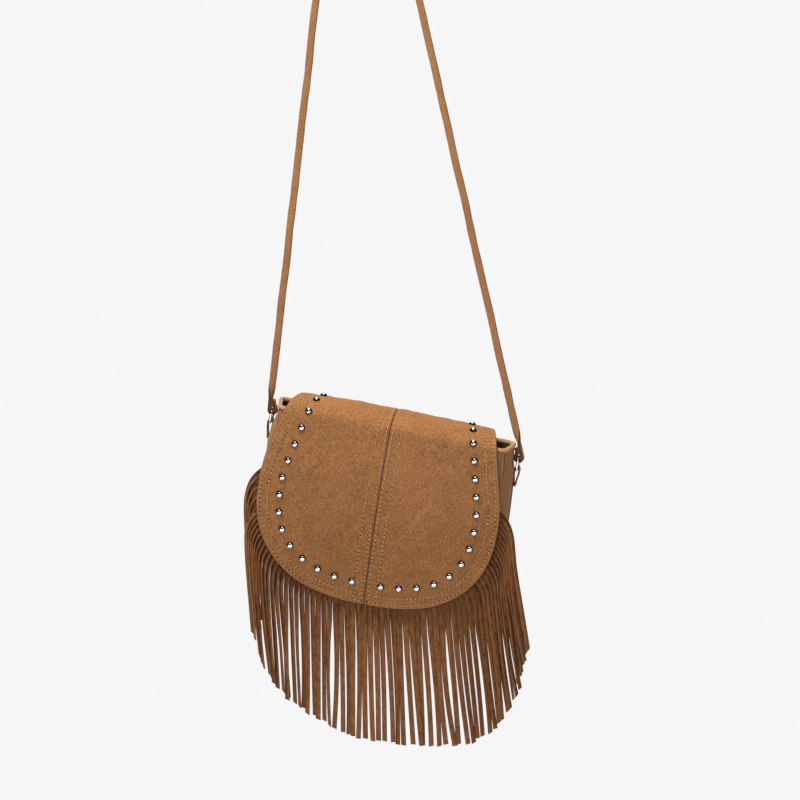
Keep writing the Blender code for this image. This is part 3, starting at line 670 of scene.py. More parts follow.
def metal_finish():
    finish = Finish("polished_chrome", "polished_metal")
    haze = finish.noise(900.0, 2.0, 0.5)
    scratches = finish.noise(1500.0, 3.0, 0.6, stretch=(1.0, 0.15, 1.0))
    colour = finish.mix(finish.remap(haze, 0.35, 0.7), tone(236, 236, 240), tone(218, 218, 224))
    # painted shadow, near black, on the domes' rims, standing in for their contact shadow and dark
    # reflection
    colour = finish.mix(finish.attribute("cut"), colour, tone(26, 20, 18))
    finish.put("Base Color", colour)
    finish.put("Metallic", 1.0)
    finish.put("Roughness", finish.remap(haze, 0.35, 0.7, 0.03, 0.07))
    finish.bump(scratches, 0.05, 0.00005)
    return finish.material


FLAP_TONE, FLAP_PALE, FLAP_DARK = tone(151, 102, 62), tone(185, 130, 83), tone(109, 70, 40)
STRAND_TONE, STRAND_PALE, STRAND_DARK = tone(124, 80, 48), tone(152, 102, 63), tone(90, 54, 31)

FLAP_SUEDE = flap_finish()
BODY_SUEDE = plain_suede(
    "body_suede", "suede", tone(152, 108, 72), tone(182, 134, 92), tone(116, 78, 50), tone(120, 80, 54)
)
STRAP_SUEDE = plain_suede(
    "strap_suede", "suede", tone(156, 110, 72), tone(188, 138, 94), tone(120, 78, 48), tone(96, 62, 40)
)
RIM_SUEDE = plain_suede(
    "rim_suede",
    "edge_suede",
    tone(188, 140, 98),
    tone(214, 166, 120),
    tone(150, 104, 68),
    tone(150, 108, 76),
)
STRAND_SUEDE = fringe_finish()
THREAD = thread_finish()
CLOTH = cloth_finish()
METAL = metal_finish()


# The body's curves, as in the model


def front_profile(z):
    share = -z / BODY_HEIGHT
    return -MOUTH_DEPTH / 2 * (1 - share) - BASE_FRONT * share - BELLY * np.sin(pi * share)


def edge_fall(x):
    return EDGE_FALL * np.abs(x / FRONT_WIDE_HALF) ** EDGE_FALL_POWER


def front_face(x, z):
    return front_profile(z) + edge_fall(x)


def back_face(x, z):
    return BACK_FACE + 0 * x * z


def side_outline(mouth_half, wide_half, height, straight=24, round_steps=60):
    # The right edge of a panel as (x, z), from the mouth down to the middle of the bottom
    share = np.arange(straight) / straight
    upper = np.stack([mix(mouth_half, wide_half, np.sin(share * pi / 2)), -WIDE_DROP * share], axis=1)
    angle = pi / 2 * np.arange(round_steps + 1) / round_steps
    x = wide_half * np.maximum(np.cos(angle), 0) ** (2 / OUTLINE_POWER)
    z = -WIDE_DROP - (height - WIDE_DROP) * np.sin(angle) ** (2 / OUTLINE_POWER)
    x[-1] = 0
    return np.concatenate([upper, np.stack([x, z], axis=1)])


def full_outline(side):
    # The whole U, from the left end of the mouth round the bottom to the right end
    return np.concatenate([side * (-1, 1), side[-2::-1]])


def front_side(inset=0.0, **counts):
    return side_outline(FRONT_MOUTH_HALF - inset, FRONT_WIDE_HALF - inset, BODY_HEIGHT - inset, **counts)


def back_side(inset=0.0):
    height = BODY_HEIGHT + BACK_WIDE_HALF - FRONT_WIDE_HALF
    return side_outline(BACK_MOUTH_HALF - inset, BACK_WIDE_HALF - inset, height - inset)


def gusset_front_y(x, z):
    return front_face(x, z) + PANEL_THICKNESS + FRINGE_THICKNESS + 2 * CLEARANCE


def gusset_back_y():
    return BACK_FACE - PANEL_THICKNESS - CLEARANCE


def outline_normals(points):
    run = directions(points)
    return np.stack([run[:, 1], -run[:, 0]], axis=1)


def gusset_grid(inset, steps, front_gap=0.0):
    # Rows from the front edge to the back edge. Each row runs along the whole U.
    front, back = full_outline(front_side(inset)), full_outline(back_side(inset))
    seam = full_outline(front_side())
    normals = outline_normals(front)
    rows = []
    for share in np.linspace(0, 1, steps + 1):
        bulge = GUSSET_BULGE * sin(pi * share) * smooth(-front[:, 1] / GUSSET_BULGE_START)
        x = mix(front[:, 0], back[:, 0], share) + normals[:, 0] * bulge
        z = mix(front[:, 1], back[:, 1], share) + normals[:, 1] * bulge
        y = mix(gusset_front_y(seam[:, 0], seam[:, 1]) + front_gap, gusset_back_y() - front_gap, share)
        rows.append(np.stack([x, y, z], axis=1))
    return np.array(rows)


def grid_normals(grid):
    down = np.gradient(grid, axis=0)
    along = np.gradient(grid, axis=1)
    return unit(np.cross(along, down))


# The panels


def panel_grid(side, face, columns=90):
    # Rows across a panel from its mouth down to just above its lowest point
    share = np.sin(pi / 2 * np.linspace(-1, 1, columns))
    side = side[:-1]
    x = side[:, :1] * share
    z = np.broadcast_to(side[:, 1:], x.shape)
    return np.stack([x, face(x, z), z], axis=2)


def nearest(points, line):
    # For points in a plane: how far each is from a line, and how far along the line that is
    distances = measure(line)
    best = np.full(len(points), np.inf)
    run = np.zeros(len(points))
    for a, b, start in zip(line, line[1:], distances):
        step = b - a
        share = np.clip((points - a) @ step / (step @ step), 0, 1)
        far = np.linalg.norm(points - a - share[:, None] * step, axis=1)
        closer = far < best
        best = np.where(closer, far, best)
        run = np.where(closer, start + share * np.linalg.norm(step), run)
    return best, run


def edge_fields(flat, line):
    best, run = nearest(flat.reshape(-1, 2), line)
    return best.reshape(flat.shape[:2]), run.reshape(flat.shape[:2])


def sewn(gap, row, depth=0.00022, width=0.0009):
    # The groove that a row of stitches pulls into the leather
    return depth * hump(gap - row, width)


def add_panel(end, side, face, outward, relief):
    # The front or the back panel, with its outer side facing outward along y
    grid = panel_grid(side, face)
    gap, _ = edge_fields(grid[..., ::2], full_outline(side))
    outer = grid + np.array([0, outward, 0]) * relief(grid, gap)[..., None]
    inner = grid - np.array([0, outward * PANEL_THICKNESS, 0])
    shape = Shape()
    add_skin(shape, outer[:, ::-outward], inner[:, ::-outward])
    shape.warp(round_mouth)
    shape.finish(f"{end}_panel_suede", BODY_SUEDE, "bag", [f"{end}_panel"])


def front_relief(grid, gap):
    waves = uneven(grid, height=0.0004, size=0.045, seed=3) * smooth(gap / PANEL_EVEN_EDGE)
    return waves - sewn(gap, PANEL_ROW)


def back_relief(grid, gap):
    below_anchor = smooth(-(grid[..., 2] + PANEL_EVEN_EDGE) / PANEL_EVEN_EDGE)
    waves = uneven(grid, height=0.0003, size=0.05, seed=5) * smooth(gap / PANEL_EVEN_EDGE)
    return waves * below_anchor - sewn(gap, PANEL_ROW)


def add_gusset():
    grid = gusset_grid(GUSSET_THICKNESS / 2 + GUSSET_OVERHANG, 36)
    out = grid_normals(grid)
    share = np.linspace(0, 1, len(grid))[:, None]
    seams = np.sin(pi * share) ** 0.7
    sag = uneven(grid, height=0.0007, size=0.05, seed=7) + uneven(grid, height=0.0003, size=0.016, seed=8)
    near_seam = 0.0003 * (hump(share, 0.03) + hump(1 - share, 0.03))
    outer = grid + out * (GUSSET_THICKNESS / 2 + sag * seams - near_seam)[..., None]
    inner = grid + out * (sag * seams - GUSSET_THICKNESS / 2)[..., None]
    shape = Shape()
    add_skin(shape, outer, inner)
    shape.warp(round_mouth)
    shape.finish("gusset_suede", BODY_SUEDE, "bag", ["gusset"])


def add_lining():
    # A pocket of cloth inside the panels and the gusset, slack between its seams
    inset = GUSSET_THICKNESS + GUSSET_OVERHANG + CLEARANCE + LINING_THICKNESS / 2
    band = gusset_grid(inset, 16, front_gap=CLEARANCE + LINING_THICKNESS / 2)
    half = band.shape[1] // 2
    share = np.linspace(0, 1, 25)[1:-1, None]
    loops = []
    for i in range(half):
        left, right = band[:, i], band[:, -1 - i]
        back = mix(left[-1], right[-1], share)
        front = mix(right[0], left[0], share)
        front[:, 1] += edge_fall(front[:, 0]) - edge_fall(left[0][0])
        loops.append(np.concatenate([left, back, right[::-1], front]))
    loops = np.array(loops)
    middle = loops.mean(axis=1, keepdims=True)
    inward = unit((middle - loops) * (1, 1, 0))
    drop = smooth(-loops[..., 2] / LINING_SLACK_FROM)
    slack = (LINING_SLACK + uneven(loops, height=0.0009, size=0.035, seed=11)) * drop
    outer = loops + inward * (slack - LINING_THICKNESS / 2)[..., None]
    inner = loops + inward * (slack + LINING_THICKNESS / 2)[..., None]
    rows, columns = loops.shape[:2]
    size = rows * columns
    faces = grid_faces(rows, columns, closed=True, flip=True)
    faces += grid_faces(rows, columns, start=size, closed=True)
    for j in range(columns):
        k = (j + 1) % columns
        faces.append([j, k, size + k, size + j])
    last = (rows - 1) * columns
    faces.append([last + j for j in range(columns)][::-1])
    faces.append([size + last + j for j in range(columns)])
    shape = Shape()
    shape.add(np.concatenate([outer.reshape(-1, 3), inner.reshape(-1, 3)]), faces)
    shape.warp(round_mouth)
    shape.finish("lining_pocket", CLOTH, "bag", ["lining"])


def mouth_spread(x, y, z):
    # How far the soft mouth's front corners stand further out than the model's, on either side
    front = np.clip((BACK_FACE - y) / MOUTH_DEPTH, 0, 1)
    side = np.where(x > 0, MOUTH_SPREAD_RIGHT, MOUTH_SPREAD_LEFT)
    depth = np.where(x > 0, MOUTH_SPREAD_DEPTH_RIGHT, MOUTH_SPREAD_DEPTH_LEFT)
    return side * front * (1 - smooth(-z / depth)) * smooth(np.abs(x) / FRONT_MOUTH_HALF)


def round_mouth(points):
    # The soft mouth: its four corners are drawn in to rounds that fade out down the body
    points = np.array(points, float)
    depth = 1 - smooth(-points[:, 2] / MOUTH_CORNER_DEPTH)
    spread = mouth_spread(*points.T)
    front = (FRONT_MOUTH_HALF, front_face(FRONT_MOUTH_HALF, 0.0), -1)
    back = (BACK_MOUTH_HALF, BACK_FACE, 1)
    for half, edge, way in (front, back):
        u = np.clip(np.abs(points[:, 0]) - (half - MOUTH_CORNER), 0, None) / MOUTH_CORNER
        v = np.clip(way * points[:, 1] - (way * edge - MOUTH_CORNER), 0, None) / MOUTH_CORNER
        near = (u > 0) & (v > 0)
        u, v = (np.where(near, np.minimum(value, 1.2), 0) for value in (u, v))
        drawn_u, drawn_v = u * np.sqrt(1 - v * v / 2), v * np.sqrt(1 - u * u / 2)
        points[:, 0] += np.sign(points[:, 0]) * (drawn_u - u) * MOUTH_CORNER * depth
        points[:, 1] += way * (drawn_v - v) * MOUTH_CORNER * depth
    points[:, 0] += np.sign(points[:, 0]) * spread
    return points


def mouth_loop(steps=16):
    # The line of the mouth's rim, seen from above: front edge, right gusset, back and left gusset
    band = gusset_grid(GUSSET_THICKNESS / 2 + GUSSET_OVERHANG, steps)
    x = (FRONT_MOUTH_HALF - BINDING_RADIUS) * np.linspace(-1, 1, 60)
    front = np.stack([x, front_face(x, 0.0) + BINDING_RADIUS], axis=1)
    x = (BACK_MOUTH_HALF - BINDING_RADIUS) * np.linspace(1, -1, 60)
    back = np.stack([x, np.full(x.shape, BACK_FACE - BINDING_RADIUS - 2 * CLEARANCE)], axis=1)
    right, left = band[1:-1, -1, :2], band[-2:0:-1, 0, :2]
    loop = np.concatenate([front, right, back, left])
    loop = round_mouth(np.concatenate([loop, np.zeros((len(loop), 1))], axis=1))[:, :2]
    loop = resample(np.concatenate([loop, loop[:1]]), 481)[:-1]
    for _ in range(4):
        loop = (np.roll(loop, 1, axis=0) + 2 * loop + np.roll(loop, -1, axis=0)) / 4
    return loop


def rim_section(steps=34, width=1.2, above=1.12, below=1.3, groove_at=78, crease_shadow_at=-72):
    # The rolled rim as (outward, up), with the groove of its stitches along the top. Its shade values paint
    # shadow into that groove and into the crease below, and a paler band round its outer face. Places round
    # it are angles in degrees, from the outside up.
    points, shade = [], []
    middle = BINDING_RADIUS + CLEARANCE * 0.6
    for angle in np.linspace(-170, 190, steps + 1)[:-1]:
        turn = radians(angle)
        out, up = (1 if value(turn) > 0 else -1 for value in (cos, sin))
        a, b = abs(cos(turn)) ** 0.8, abs(sin(turn)) ** 0.8
        groove = RIM_GROOVE * float(hump(angle - groove_at, 15))
        height = (BINDING_RADIUS * (above if up > 0 else below) * b - groove) * up
        points.append((BINDING_RADIUS * width * a * out + 0.0002, middle + height))
        # a paler band round the roll's outer face, a little above its middle
        paler_band = 1.2 * float(hump(angle - 20, 40))
        # painted shadow in the crease under the roll and in the stitch groove along its top
        crease_and_groove_shadow = 4.5 * float(hump(angle - crease_shadow_at, 34)) + 3.0 * float(hump(angle - groove_at, 12))
        shade.append(paler_band - crease_and_groove_shadow)
    return np.array(points), np.array(shade)


def add_mouth_rim():
    loop = mouth_loop()
    run = directions(loop, closed=True)
    out = np.stack([run[:, 1], -run[:, 0], np.zeros(len(run))], axis=1)
    centres = np.stack([loop[:, 0], loop[:, 1], uneven(loop, height=0.00025, size=0.03, seed=13)], axis=1)
    centres = centres + out * uneven(loop, height=0.00015, size=0.022, seed=14)[:, None]
    up = always(loop, 0, 0, 1)
    section, shade = rim_section()
    sections = section[None] * (1 + uneven(loop, height=0.04, size=0.02, seed=15))[:, None, None]
    shape = Shape()
    add_sweep(shape, centres, out, up, sections, closed=True, shade=shade)
    shape.finish("mouth_rim", RIM_SUEDE, "bag", ["mouth_binding"])
    return loop, out


def add_body_stitching(rim_loop, rim_out):
    # The seam round the back panel and the stitches along the top of the mouth's rim
    shape = Shape()
    line = full_outline(back_side())
    line = line - outline_normals(line) * PANEL_ROW
    row = resample(line, int(measure(line)[-1] / STITCH_PITCH))
    holes = np.stack([row[:, 0], np.full(len(row), BACK_FACE), row[:, 1]], axis=1)
    add_stitches(shape, holes, always(holes, 0, 1, 0))
    shape.warp(round_mouth)
    path = np.concatenate([rim_loop, np.zeros((len(rim_loop), 1))], axis=1) + rim_out * BINDING_RADIUS * 0.3
    path[:, 2] = 2 * BINDING_RADIUS + CLEARANCE - RIM_GROOVE * 0.8
    holes = resample(np.concatenate([path, path[:1]]), int(measure(path)[-1] / STITCH_PITCH))
    add_stitches(shape, holes, always(holes, 0, 0, 1))
    shape.finish("body_stitching", THREAD, "bag")


# The fringe


def plumb():
    # Straight down and level, as (x, z) in the bag's own frame
    tilt = radians(HANG_TILT)
    return Vector((sin(tilt), -cos(tilt))), Vector((cos(tilt), sin(tilt)))


def walk(points, distances, distance):
    # The point and the direction at a distance along a line of points
    i = int(np.clip(np.searchsorted(distances, distance) - 1, 0, len(points) - 2))
    a, b = Vector(points[i]), Vector(points[i + 1])
    span = distances[i + 1] - distances[i]
    return mix(a, b, (distance - distances[i]) / span), (b - a) / span


def strand_roots():
    # Each strand's point, run along the seam, outward direction and turn to hang straight down
    line = full_outline(front_side(straight=12, round_steps=60))
    distances = measure(line)
    start = next(d for (_, z), d in zip(line, distances) if z <= -FRINGE_START_DROP)
    count = int((distances[-1] - 2 * start) / FRINGE_PITCH)
    down, level = plumb()
    roots = []
    for i in range(count):
        point, run = walk(line, distances, distances[-1] / 2 + (i - (count - 1) / 2) * FRINGE_PITCH)
        outward = Vector((run.y, -run.x))
        roots.append((point, run, outward, atan2(outward.dot(level), outward.dot(down))))
    return roots


def room_for(turn):
    width = FRINGE_PITCH - FRINGE_SLIT
    return width * cos(turn) + FRINGE_THICKNESS * sin(turn) + FRINGE_HANG_GAP


def hanging_turn(turn):
    # A strand turns edge-on far enough to fit in the level room between its neighbours' roots
    turn = min(abs(turn), pi / 2)
    room = FRINGE_PITCH * cos(turn)
    while turn < pi / 2 and room_for(turn) > room:
        turn += radians(1)
    return min(turn, pi / 2)


def hanging_places(roots):
    # How far along the level direction each strand hangs, and how far behind the seam
    level = plumb()[1]
    middle = min(range(len(roots)), key=lambda i: abs(roots[i][3]))
    places = [root[0].dot(level) for root in roots]
    layers = [0.0] * len(roots)
    widest = min(places)
    behind = 0
    for i in range(middle + 1, len(roots)):
        places[i] = max(places[i] + strand_reach(roots[i]), places[i - 1] + spacing(roots[i], roots[i - 1]))
    for i in range(middle - 1, -1, -1):
        if roots[i][3] < -radians(FRINGE_BACK_ANGLE):
            places[i] = widest - FRINGE_REACH - behind * room_for(pi / 2) / 2
            layers[i] = FRINGE_BACK_LAYER * (1 + behind % 2)
            behind += 1
        else:
            room = spacing(roots[i], roots[i + 1])
            places[i] = min(places[i] - strand_reach(roots[i]), places[i + 1] - room)
    return places, layers


def spacing(first, second):
    return (room_for(hanging_turn(first[3])) + room_for(hanging_turn(second[3]))) / 2


def strand_reach(root):
    return FRINGE_REACH * sin(min(abs(root[3]), pi / 2))


def strand_line(root, place, layer, length, lean, steps=40):
    # The middle line of one strand: a bend out of the seam, then straight down
    point, _, outward, turn = root
    down, level = plumb()
    out = place - point.dot(level)
    turned = float(smooth(abs(turn) / (pi / 2)))
    drop = mix(FRINGE_BEND_LOW, STRAND_BEND_SIDE, turned) + abs(out)
    hang = level * place + down * (point.dot(down) + drop)
    pull = STRAND_PULL * hypot(out, drop)
    leave = (outward + down * STRAND_DROOP * turned).normalized()
    a, b = point, point + leave * pull
    c, d = hang - down * pull * FRINGE_DROP_PULL, hang
    line = []
    for t in np.linspace(0, 1, steps + 1):
        t = float(t)
        flat = a * (1 - t) ** 3 + b * 3 * t * (1 - t) ** 2 + c * 3 * t * t * (1 - t) + d * t ** 3
        line.append((flat.x, layer * float(smooth(t)), flat.y))
    used = measure(line)[-1]
    rest = length - used
    for i in range(1, 13):
        share = i / 12
        flat = hang + down * rest * share + level * rest * tan(lean) * share ** FRINGE_SPLAY_POWER
        line.append((flat.x, layer, flat.y))
    return np.array(line), used


def strand_section():
    # A strand's section, and for each of its points how near it is to a cut side
    across = np.array((1.0, 0.95, 0.7, 0.3, -0.3, -0.7, -0.95, -1.0))
    through = np.array((0.4, 0.95, 1.0, 1.0, 1.0, 1.0, 0.95, 0.4)) * FRINGE_THICKNESS / 2
    cut = np.array((1.0, 0.8, 0.2, 0.0, 0.0, 0.2, 0.8, 1.0))
    across = np.append(across, across[::-1]) * STRAND_WIDTH / 2
    through = np.append(through, -through[::-1])
    return np.stack([across, through], axis=1), np.append(cut, cut[::-1])


def add_fringe():
    roots = strand_roots()
    places, layers = hanging_places(roots)
    span = max(abs(place) for place in places)
    depth = PANEL_THICKNESS + CLEARANCE + FRINGE_THICKNESS / 2
    dice = np.random.default_rng(21)
    shape = Shape()
    for number, (root, place, layer) in enumerate(zip(roots, places, layers)):
        share = place / span
        splay = FRINGE_SPLAY_RIGHT if place > 0 else FRINGE_SPLAY_LEFT
        length = strand_length(place, share)
        line, bend = strand_line(root, place, layer, length, radians(splay) * abs(share) ** 3)
        line[:, 1] += front_face(root[0].x, root[0].y) + depth
        length += dice.uniform(-STRAND_TOO_SHORT, STRAND_TOO_LONG)
        add_strand(shape, root[3], line, bend, length, place, share, number, dice)
    add_header(shape, depth)
    shape.finish("fringe_strands", STRAND_SUEDE, "bag", ["fringe"], sharp=50)


def strand_length(place, share):
    # Longer at the right and a little right of the middle, and trimmed at both sides
    length = FRINGE_LENGTH + FRINGE_LONGER_RIGHT * max(share, 0) ** 2
    length += FRINGE_DIP * hump(place - FRINGE_DIP_AT, FRINGE_DIP_WIDTH)
    length -= FRINGE_TRIM_LEFT * float(smooth((-share - 0.25) / 0.4))
    return length - FRINGE_TRIM_RIGHT * float(smooth((share - 0.5) / 0.3))


def add_strand(shape, turn, line, bend, length, place, share, number, dice, stations=36):
    # One strand, with the fan, lean, bow, twist and curl that make it differ from its neighbours
    distances = measure(line)
    wanted = length * np.linspace(0, 1, stations) ** 1.1
    t = wanted / length
    middle = np.stack([np.interp(wanted, distances, column) for column in line.T], axis=1)
    along = directions(middle)
    free = smooth((wanted / bend - 0.4) / 2.0)
    level = unit(np.stack([-along[:, 2], np.zeros(stations), along[:, 0]], axis=1))
    back = np.array([0.0, 1.0, 0.0])
    turned = float(smooth(abs(turn) / radians(75)))
    odd = 1 if number % 2 else -1
    aside, deep = strand_sway(t, place, share, turned, odd, dice, free)
    middle = middle + level * aside[:, None] + back * deep[:, None]
    twist = hanging_turn(turn) * STRAND_FACING * smooth(wanted / bend / mix(1.0, 0.5, turned))
    twist = twist * (1 if turn > 0 else -1) + radians(dice.normal(0, STRAND_TWIST)) * smooth(t * 1.4) * free
    across = level * np.cos(twist)[:, None] + back * np.sin(twist)[:, None]
    through = np.cross(directions(middle), across)
    section, cut = strand_section()
    sections = np.tile(section, (stations, 1, 1))
    sections[..., 0] *= (dice.uniform(0.96, 1.04) * mix(1.17, 0.93, smooth(t / 0.75)))[:, None]
    curl = dice.normal(0, STRAND_CURL) * free
    outer = section[:, 0] / STRAND_WIDTH * 2
    sections[..., 1] += curl[:, None] * (outer ** 2 - 0.33)
    outer = outer * (1 if turn > 0 else -1)
    shade = strand_shade(t, outer, turned, dice.normal(0, 0.7))
    # the near cut edge of an edge-on strand loses most of its dark edge colour, for its painted highlight
    cut = cut * (1 - 0.85 * turned * smooth(-outer))
    slant = np.zeros((stations, len(section), 1))
    slant[-1, :, 0] = section[:, 0] * (dice.uniform(-0.2, 0.2) - 0.5 * share)
    add_sweep(shape, middle, across, through, sections, cut=cut, shade=shade)
    shape.points[-1] = shape.points[-1] + (along[:, None] * slant).reshape(-1, 3)


def strand_sway(t, place, share, turned, odd, dice, free):
    # How far a strand moves aside and back from its hanging line, by the share t of its length
    fan = FRINGE_FAN * place * (1 - share ** 2) ** 2 * t ** 1.4
    bow = (FRINGE_BOW_RIGHT if share > 0 else -FRINGE_BOW_LEFT) * share ** 4 * np.sin(pi * t)
    lean = dice.normal(0, STRAND_LEAN) * t ** 1.8
    own = lean + dice.normal(0, STRAND_BOW) * np.sin(pi * t ** 1.5) * smooth(t / 0.4)
    own = own - STRAND_PAIR * odd * turned
    wave = dice.uniform(0.8, 1.6)
    deep = STRAND_WAVE * np.sin(2 * pi * wave * t + dice.uniform(0, 2 * pi)) + STRAND_LAYER * odd
    deep = deep + (STRAND_PAIR_DEPTH * (1 + odd) - STRAND_SET_BACK) * turned
    return fan + bow + own * free, deep * free


def strand_shade(t, outer, turned, own):
    # Painted light on a strand: edge-on, its outer half gets painted shade where its neighbour would shade
    # it, and its near edge a painted highlight; its top gets a painted shadow of the flap. Own is the
    # strand's random tone.
    t = t[:, None]
    # painted shade on the outer half
    dark = STRAND_SHADED_HALF * turned * mix(1.0, 0.7, smooth(t / 0.7)) * smooth(0.72 + 0.9 * outer)
    # painted highlight on the near edge
    pale = STRAND_LIT_EDGE * turned * (1 - smooth(t / 0.8)) * smooth(-1.6 * outer - 0.3)
    # painted shadow of the flap on the top of the strand, and a painted lift on edge-on strands
    return own - 1.7 * (1 - smooth(t / 0.32)) + 0.9 * turned - dark + pale


def add_header(shape, depth):
    # The strip's sewn edge, in the seam between the front panel and the gusset
    line = full_outline(front_side())
    keep = line[:, 1] < -FRINGE_START_DROP
    line, out = line[keep], outline_normals(line)[keep]
    rows = []
    for inset in np.linspace(FRINGE_HEADER, 0, 4):
        flat = line - out * inset
        rows.append(np.stack([flat[:, 0], front_face(flat[:, 0], flat[:, 1]) + depth, flat[:, 1]], axis=1))
    grid = np.array(rows)
    half = np.array([0, FRINGE_THICKNESS / 2, 0])
    add_skin(shape, grid - half, grid + half, bulge=0.1, steps=1)


# The flap


def flap_middle_line(crest_steps=90, front_steps=400):
    # Points (y, z) of the flap's middle surface, from the hinge over the crest to below the flap's end
    centre = (HINGE_Y - FLAP_FRONT) / 2
    radius = (HINGE_Y + FLAP_FRONT) / 2
    angle = pi / 2 * np.arange(2 * crest_steps + 1) / crest_steps
    crest = np.stack([centre + radius * np.cos(angle), FLAP_CREST_HEIGHT * np.sin(angle)], axis=1)
    z = -FLAP_LENGTH * np.arange(1, front_steps + 1) / front_steps
    front = np.stack([front_profile(z) - FLAP_STANDOFF, z], axis=1)
    return np.concatenate([crest, front]), crest_steps


FLAP_LINE, CREST_PLACE = flap_middle_line()
FLAP_DISTANCES = measure(FLAP_LINE)
FLAP_CREST_AT = FLAP_DISTANCES[CREST_PLACE]
FLAP_RUN = directions(FLAP_LINE)


def flap_place(x, along, offset):
    # Points of the flap at x, a distance along from the crest and an offset outward from its middle surface
    x, along, offset = np.broadcast_arrays(np.asarray(x, float), along, offset)
    at = along + FLAP_CREST_AT
    y, z, run_y, run_z = (
        np.interp(at, FLAP_DISTANCES, column) for column in (*FLAP_LINE.T, *FLAP_RUN.T)
    )
    fall = edge_fall(x) * smooth(1 + along / FLAP_CREST_AT)
    size = np.hypot(run_y, run_z)
    far = (offset - fall) / size
    return np.stack([x, y + run_z * far, z - run_y * far], axis=-1)


def flap_outward(x, along):
    step = 0.0005
    across = flap_place(x + step, along, 0.0) - flap_place(x - step, along, 0.0)
    down = flap_place(x, along + step, 0.0) - flap_place(x, along - step, 0.0)
    return unit(np.cross(down, across))


def flap_half_width(along):
    ease_from = FLAP_WIDE_AT - FLAP_EASE
    run = np.clip(along, ease_from, FLAP_WIDE_AT) - ease_from
    wide = FLAP_CREST_HALF + FLAP_FLARE * (np.minimum(along, ease_from) + run - run * run / (2 * FLAP_EASE))
    share = np.clip((along - FLAP_WIDE_AT) / (FLAP_LENGTH - FLAP_WIDE_AT), 0, 1)
    return wide * (1 - share ** FLAP_POWER) ** (1 / FLAP_POWER)


def flap_edge(inset=0.0):
    # (half-width, distance from the crest) down the flap's right edge, from the hinge to its lowest point
    along = np.linspace(-FLAP_CREST_AT, FLAP_WIDE_AT, 80)[:-1]
    upper = np.stack([flap_half_width(along) - inset, along], axis=1)
    wide = float(flap_half_width(FLAP_WIDE_AT)) - inset
    angle = pi / 2 * np.linspace(0, 1, 140)
    drop = (FLAP_LENGTH - inset - FLAP_WIDE_AT) * np.sin(angle) ** (2 / FLAP_POWER)
    lower = np.stack([wide * np.maximum(np.cos(angle), 0) ** (2 / FLAP_POWER), FLAP_WIDE_AT + drop], axis=1)
    return np.concatenate([upper, lower])


def flap_pattern(inset, seam, rows, columns):
    # The flat pattern of the right half as a grid of (x, along), from the seam to the edge
    edge = resample(flap_edge(inset), rows + 1)[:-1]
    last = FLAP_LENGTH - inset
    middle = mix(-FLAP_CREST_AT, last, np.linspace(0, 1, rows + 1)[:-1])
    share = 0.5 - 0.5 * np.cos(pi * np.linspace(0, 1, columns))
    x = mix(seam, np.maximum(edge[:, :1], seam + 0.0002), share)
    along = mix(middle[:, None], edge[:, 1:], share)
    return np.stack([x, along], axis=2)


def stud_places():
    line = flap_edge()[::-1]
    run = directions(line)
    line = line + np.stack([run[:, 1], -run[:, 0]], axis=1) * STUD_INSET
    line = line[line[:, 0] > 0]
    line = np.concatenate([[(0, line[0, 1])], line])
    distances = measure(line)
    last = next(i for i, point in enumerate(line) if point[1] < STUD_LAST)
    share = (line[last - 1, 1] - STUD_LAST) / (line[last - 1, 1] - line[last, 1])
    end = mix(distances[last - 1], distances[last], share)
    wanted = np.linspace(STUD_CENTRE_GAP / 2, end, STUDS_A_SIDE)
    right = np.stack([np.interp(wanted, distances, column) for column in line.T], axis=1)
    return np.concatenate([right[::-1] * (-1, 1), right])


def flap_relief(flat, edge_gap):
    # How far the suede stands out of its even surface, at places of the flat pattern
    x, along = flat[..., 0], flat[..., 1]
    relief = uneven(flat, height=0.00035, size=0.05, seed=31)
    relief = relief + uneven(flat, height=0.00012, size=0.014, seed=32)
    relief = relief + FLAP_BORDER_RAISED * smooth((FLAP_BORDER - edge_gap) / FLAP_BORDER_EASE)
    for row in EDGE_ROWS:
        relief = relief - sewn(edge_gap, row)
    for row in SEAM_ROWS:
        relief = relief - sewn(np.abs(x), row, depth=0.00018)
    relief = relief - FLAP_EDGE_ROLL * hump(edge_gap, 0.0007) - FLAP_SEAM_ROLL * hump(x, 0.0009)
    for sx, sa in stud_places():
        far = np.hypot(x - sx, along - sa)
        relief = relief - STUD_DENT * hump(far - STUD_RADIUS * 0.9, STUD_DENT_WIDTH)
    return relief


def add_flap_half(name, side, node):
    flat = flap_pattern(0.0, FLAP_SEAM_GAP / 2, 190, 112)
    gap, run = edge_fields(flat, flap_edge())
    signed = flat * (side, 1)
    relief = flap_relief(signed, gap)
    outer = flap_place(signed[..., 0], signed[..., 1], FLAP_OUTSIDE) + (
        flap_outward(signed[..., 0], signed[..., 1]) * relief[..., None]
    )
    inner = flap_place(signed[..., 0], signed[..., 1], FLAP_OUTSIDE - FLAP_OUTER_THICKNESS)
    values = {"edge_gap": gap, "edge_run": run, "seam_gap": flat[..., 0], "seam_run": flat[..., 1]}
    if side < 0:
        outer, inner = outer[:, ::-1], inner[:, ::-1]
        values = {key: value[:, ::-1] for key, value in values.items()}
    shape = Shape()
    values = {key: value[::-1] for key, value in values.items()}
    add_skin(shape, outer[::-1], inner[::-1], bulge=0.3, **values)
    piece = shape.finish(name, FLAP_SUEDE, "flap", [node])


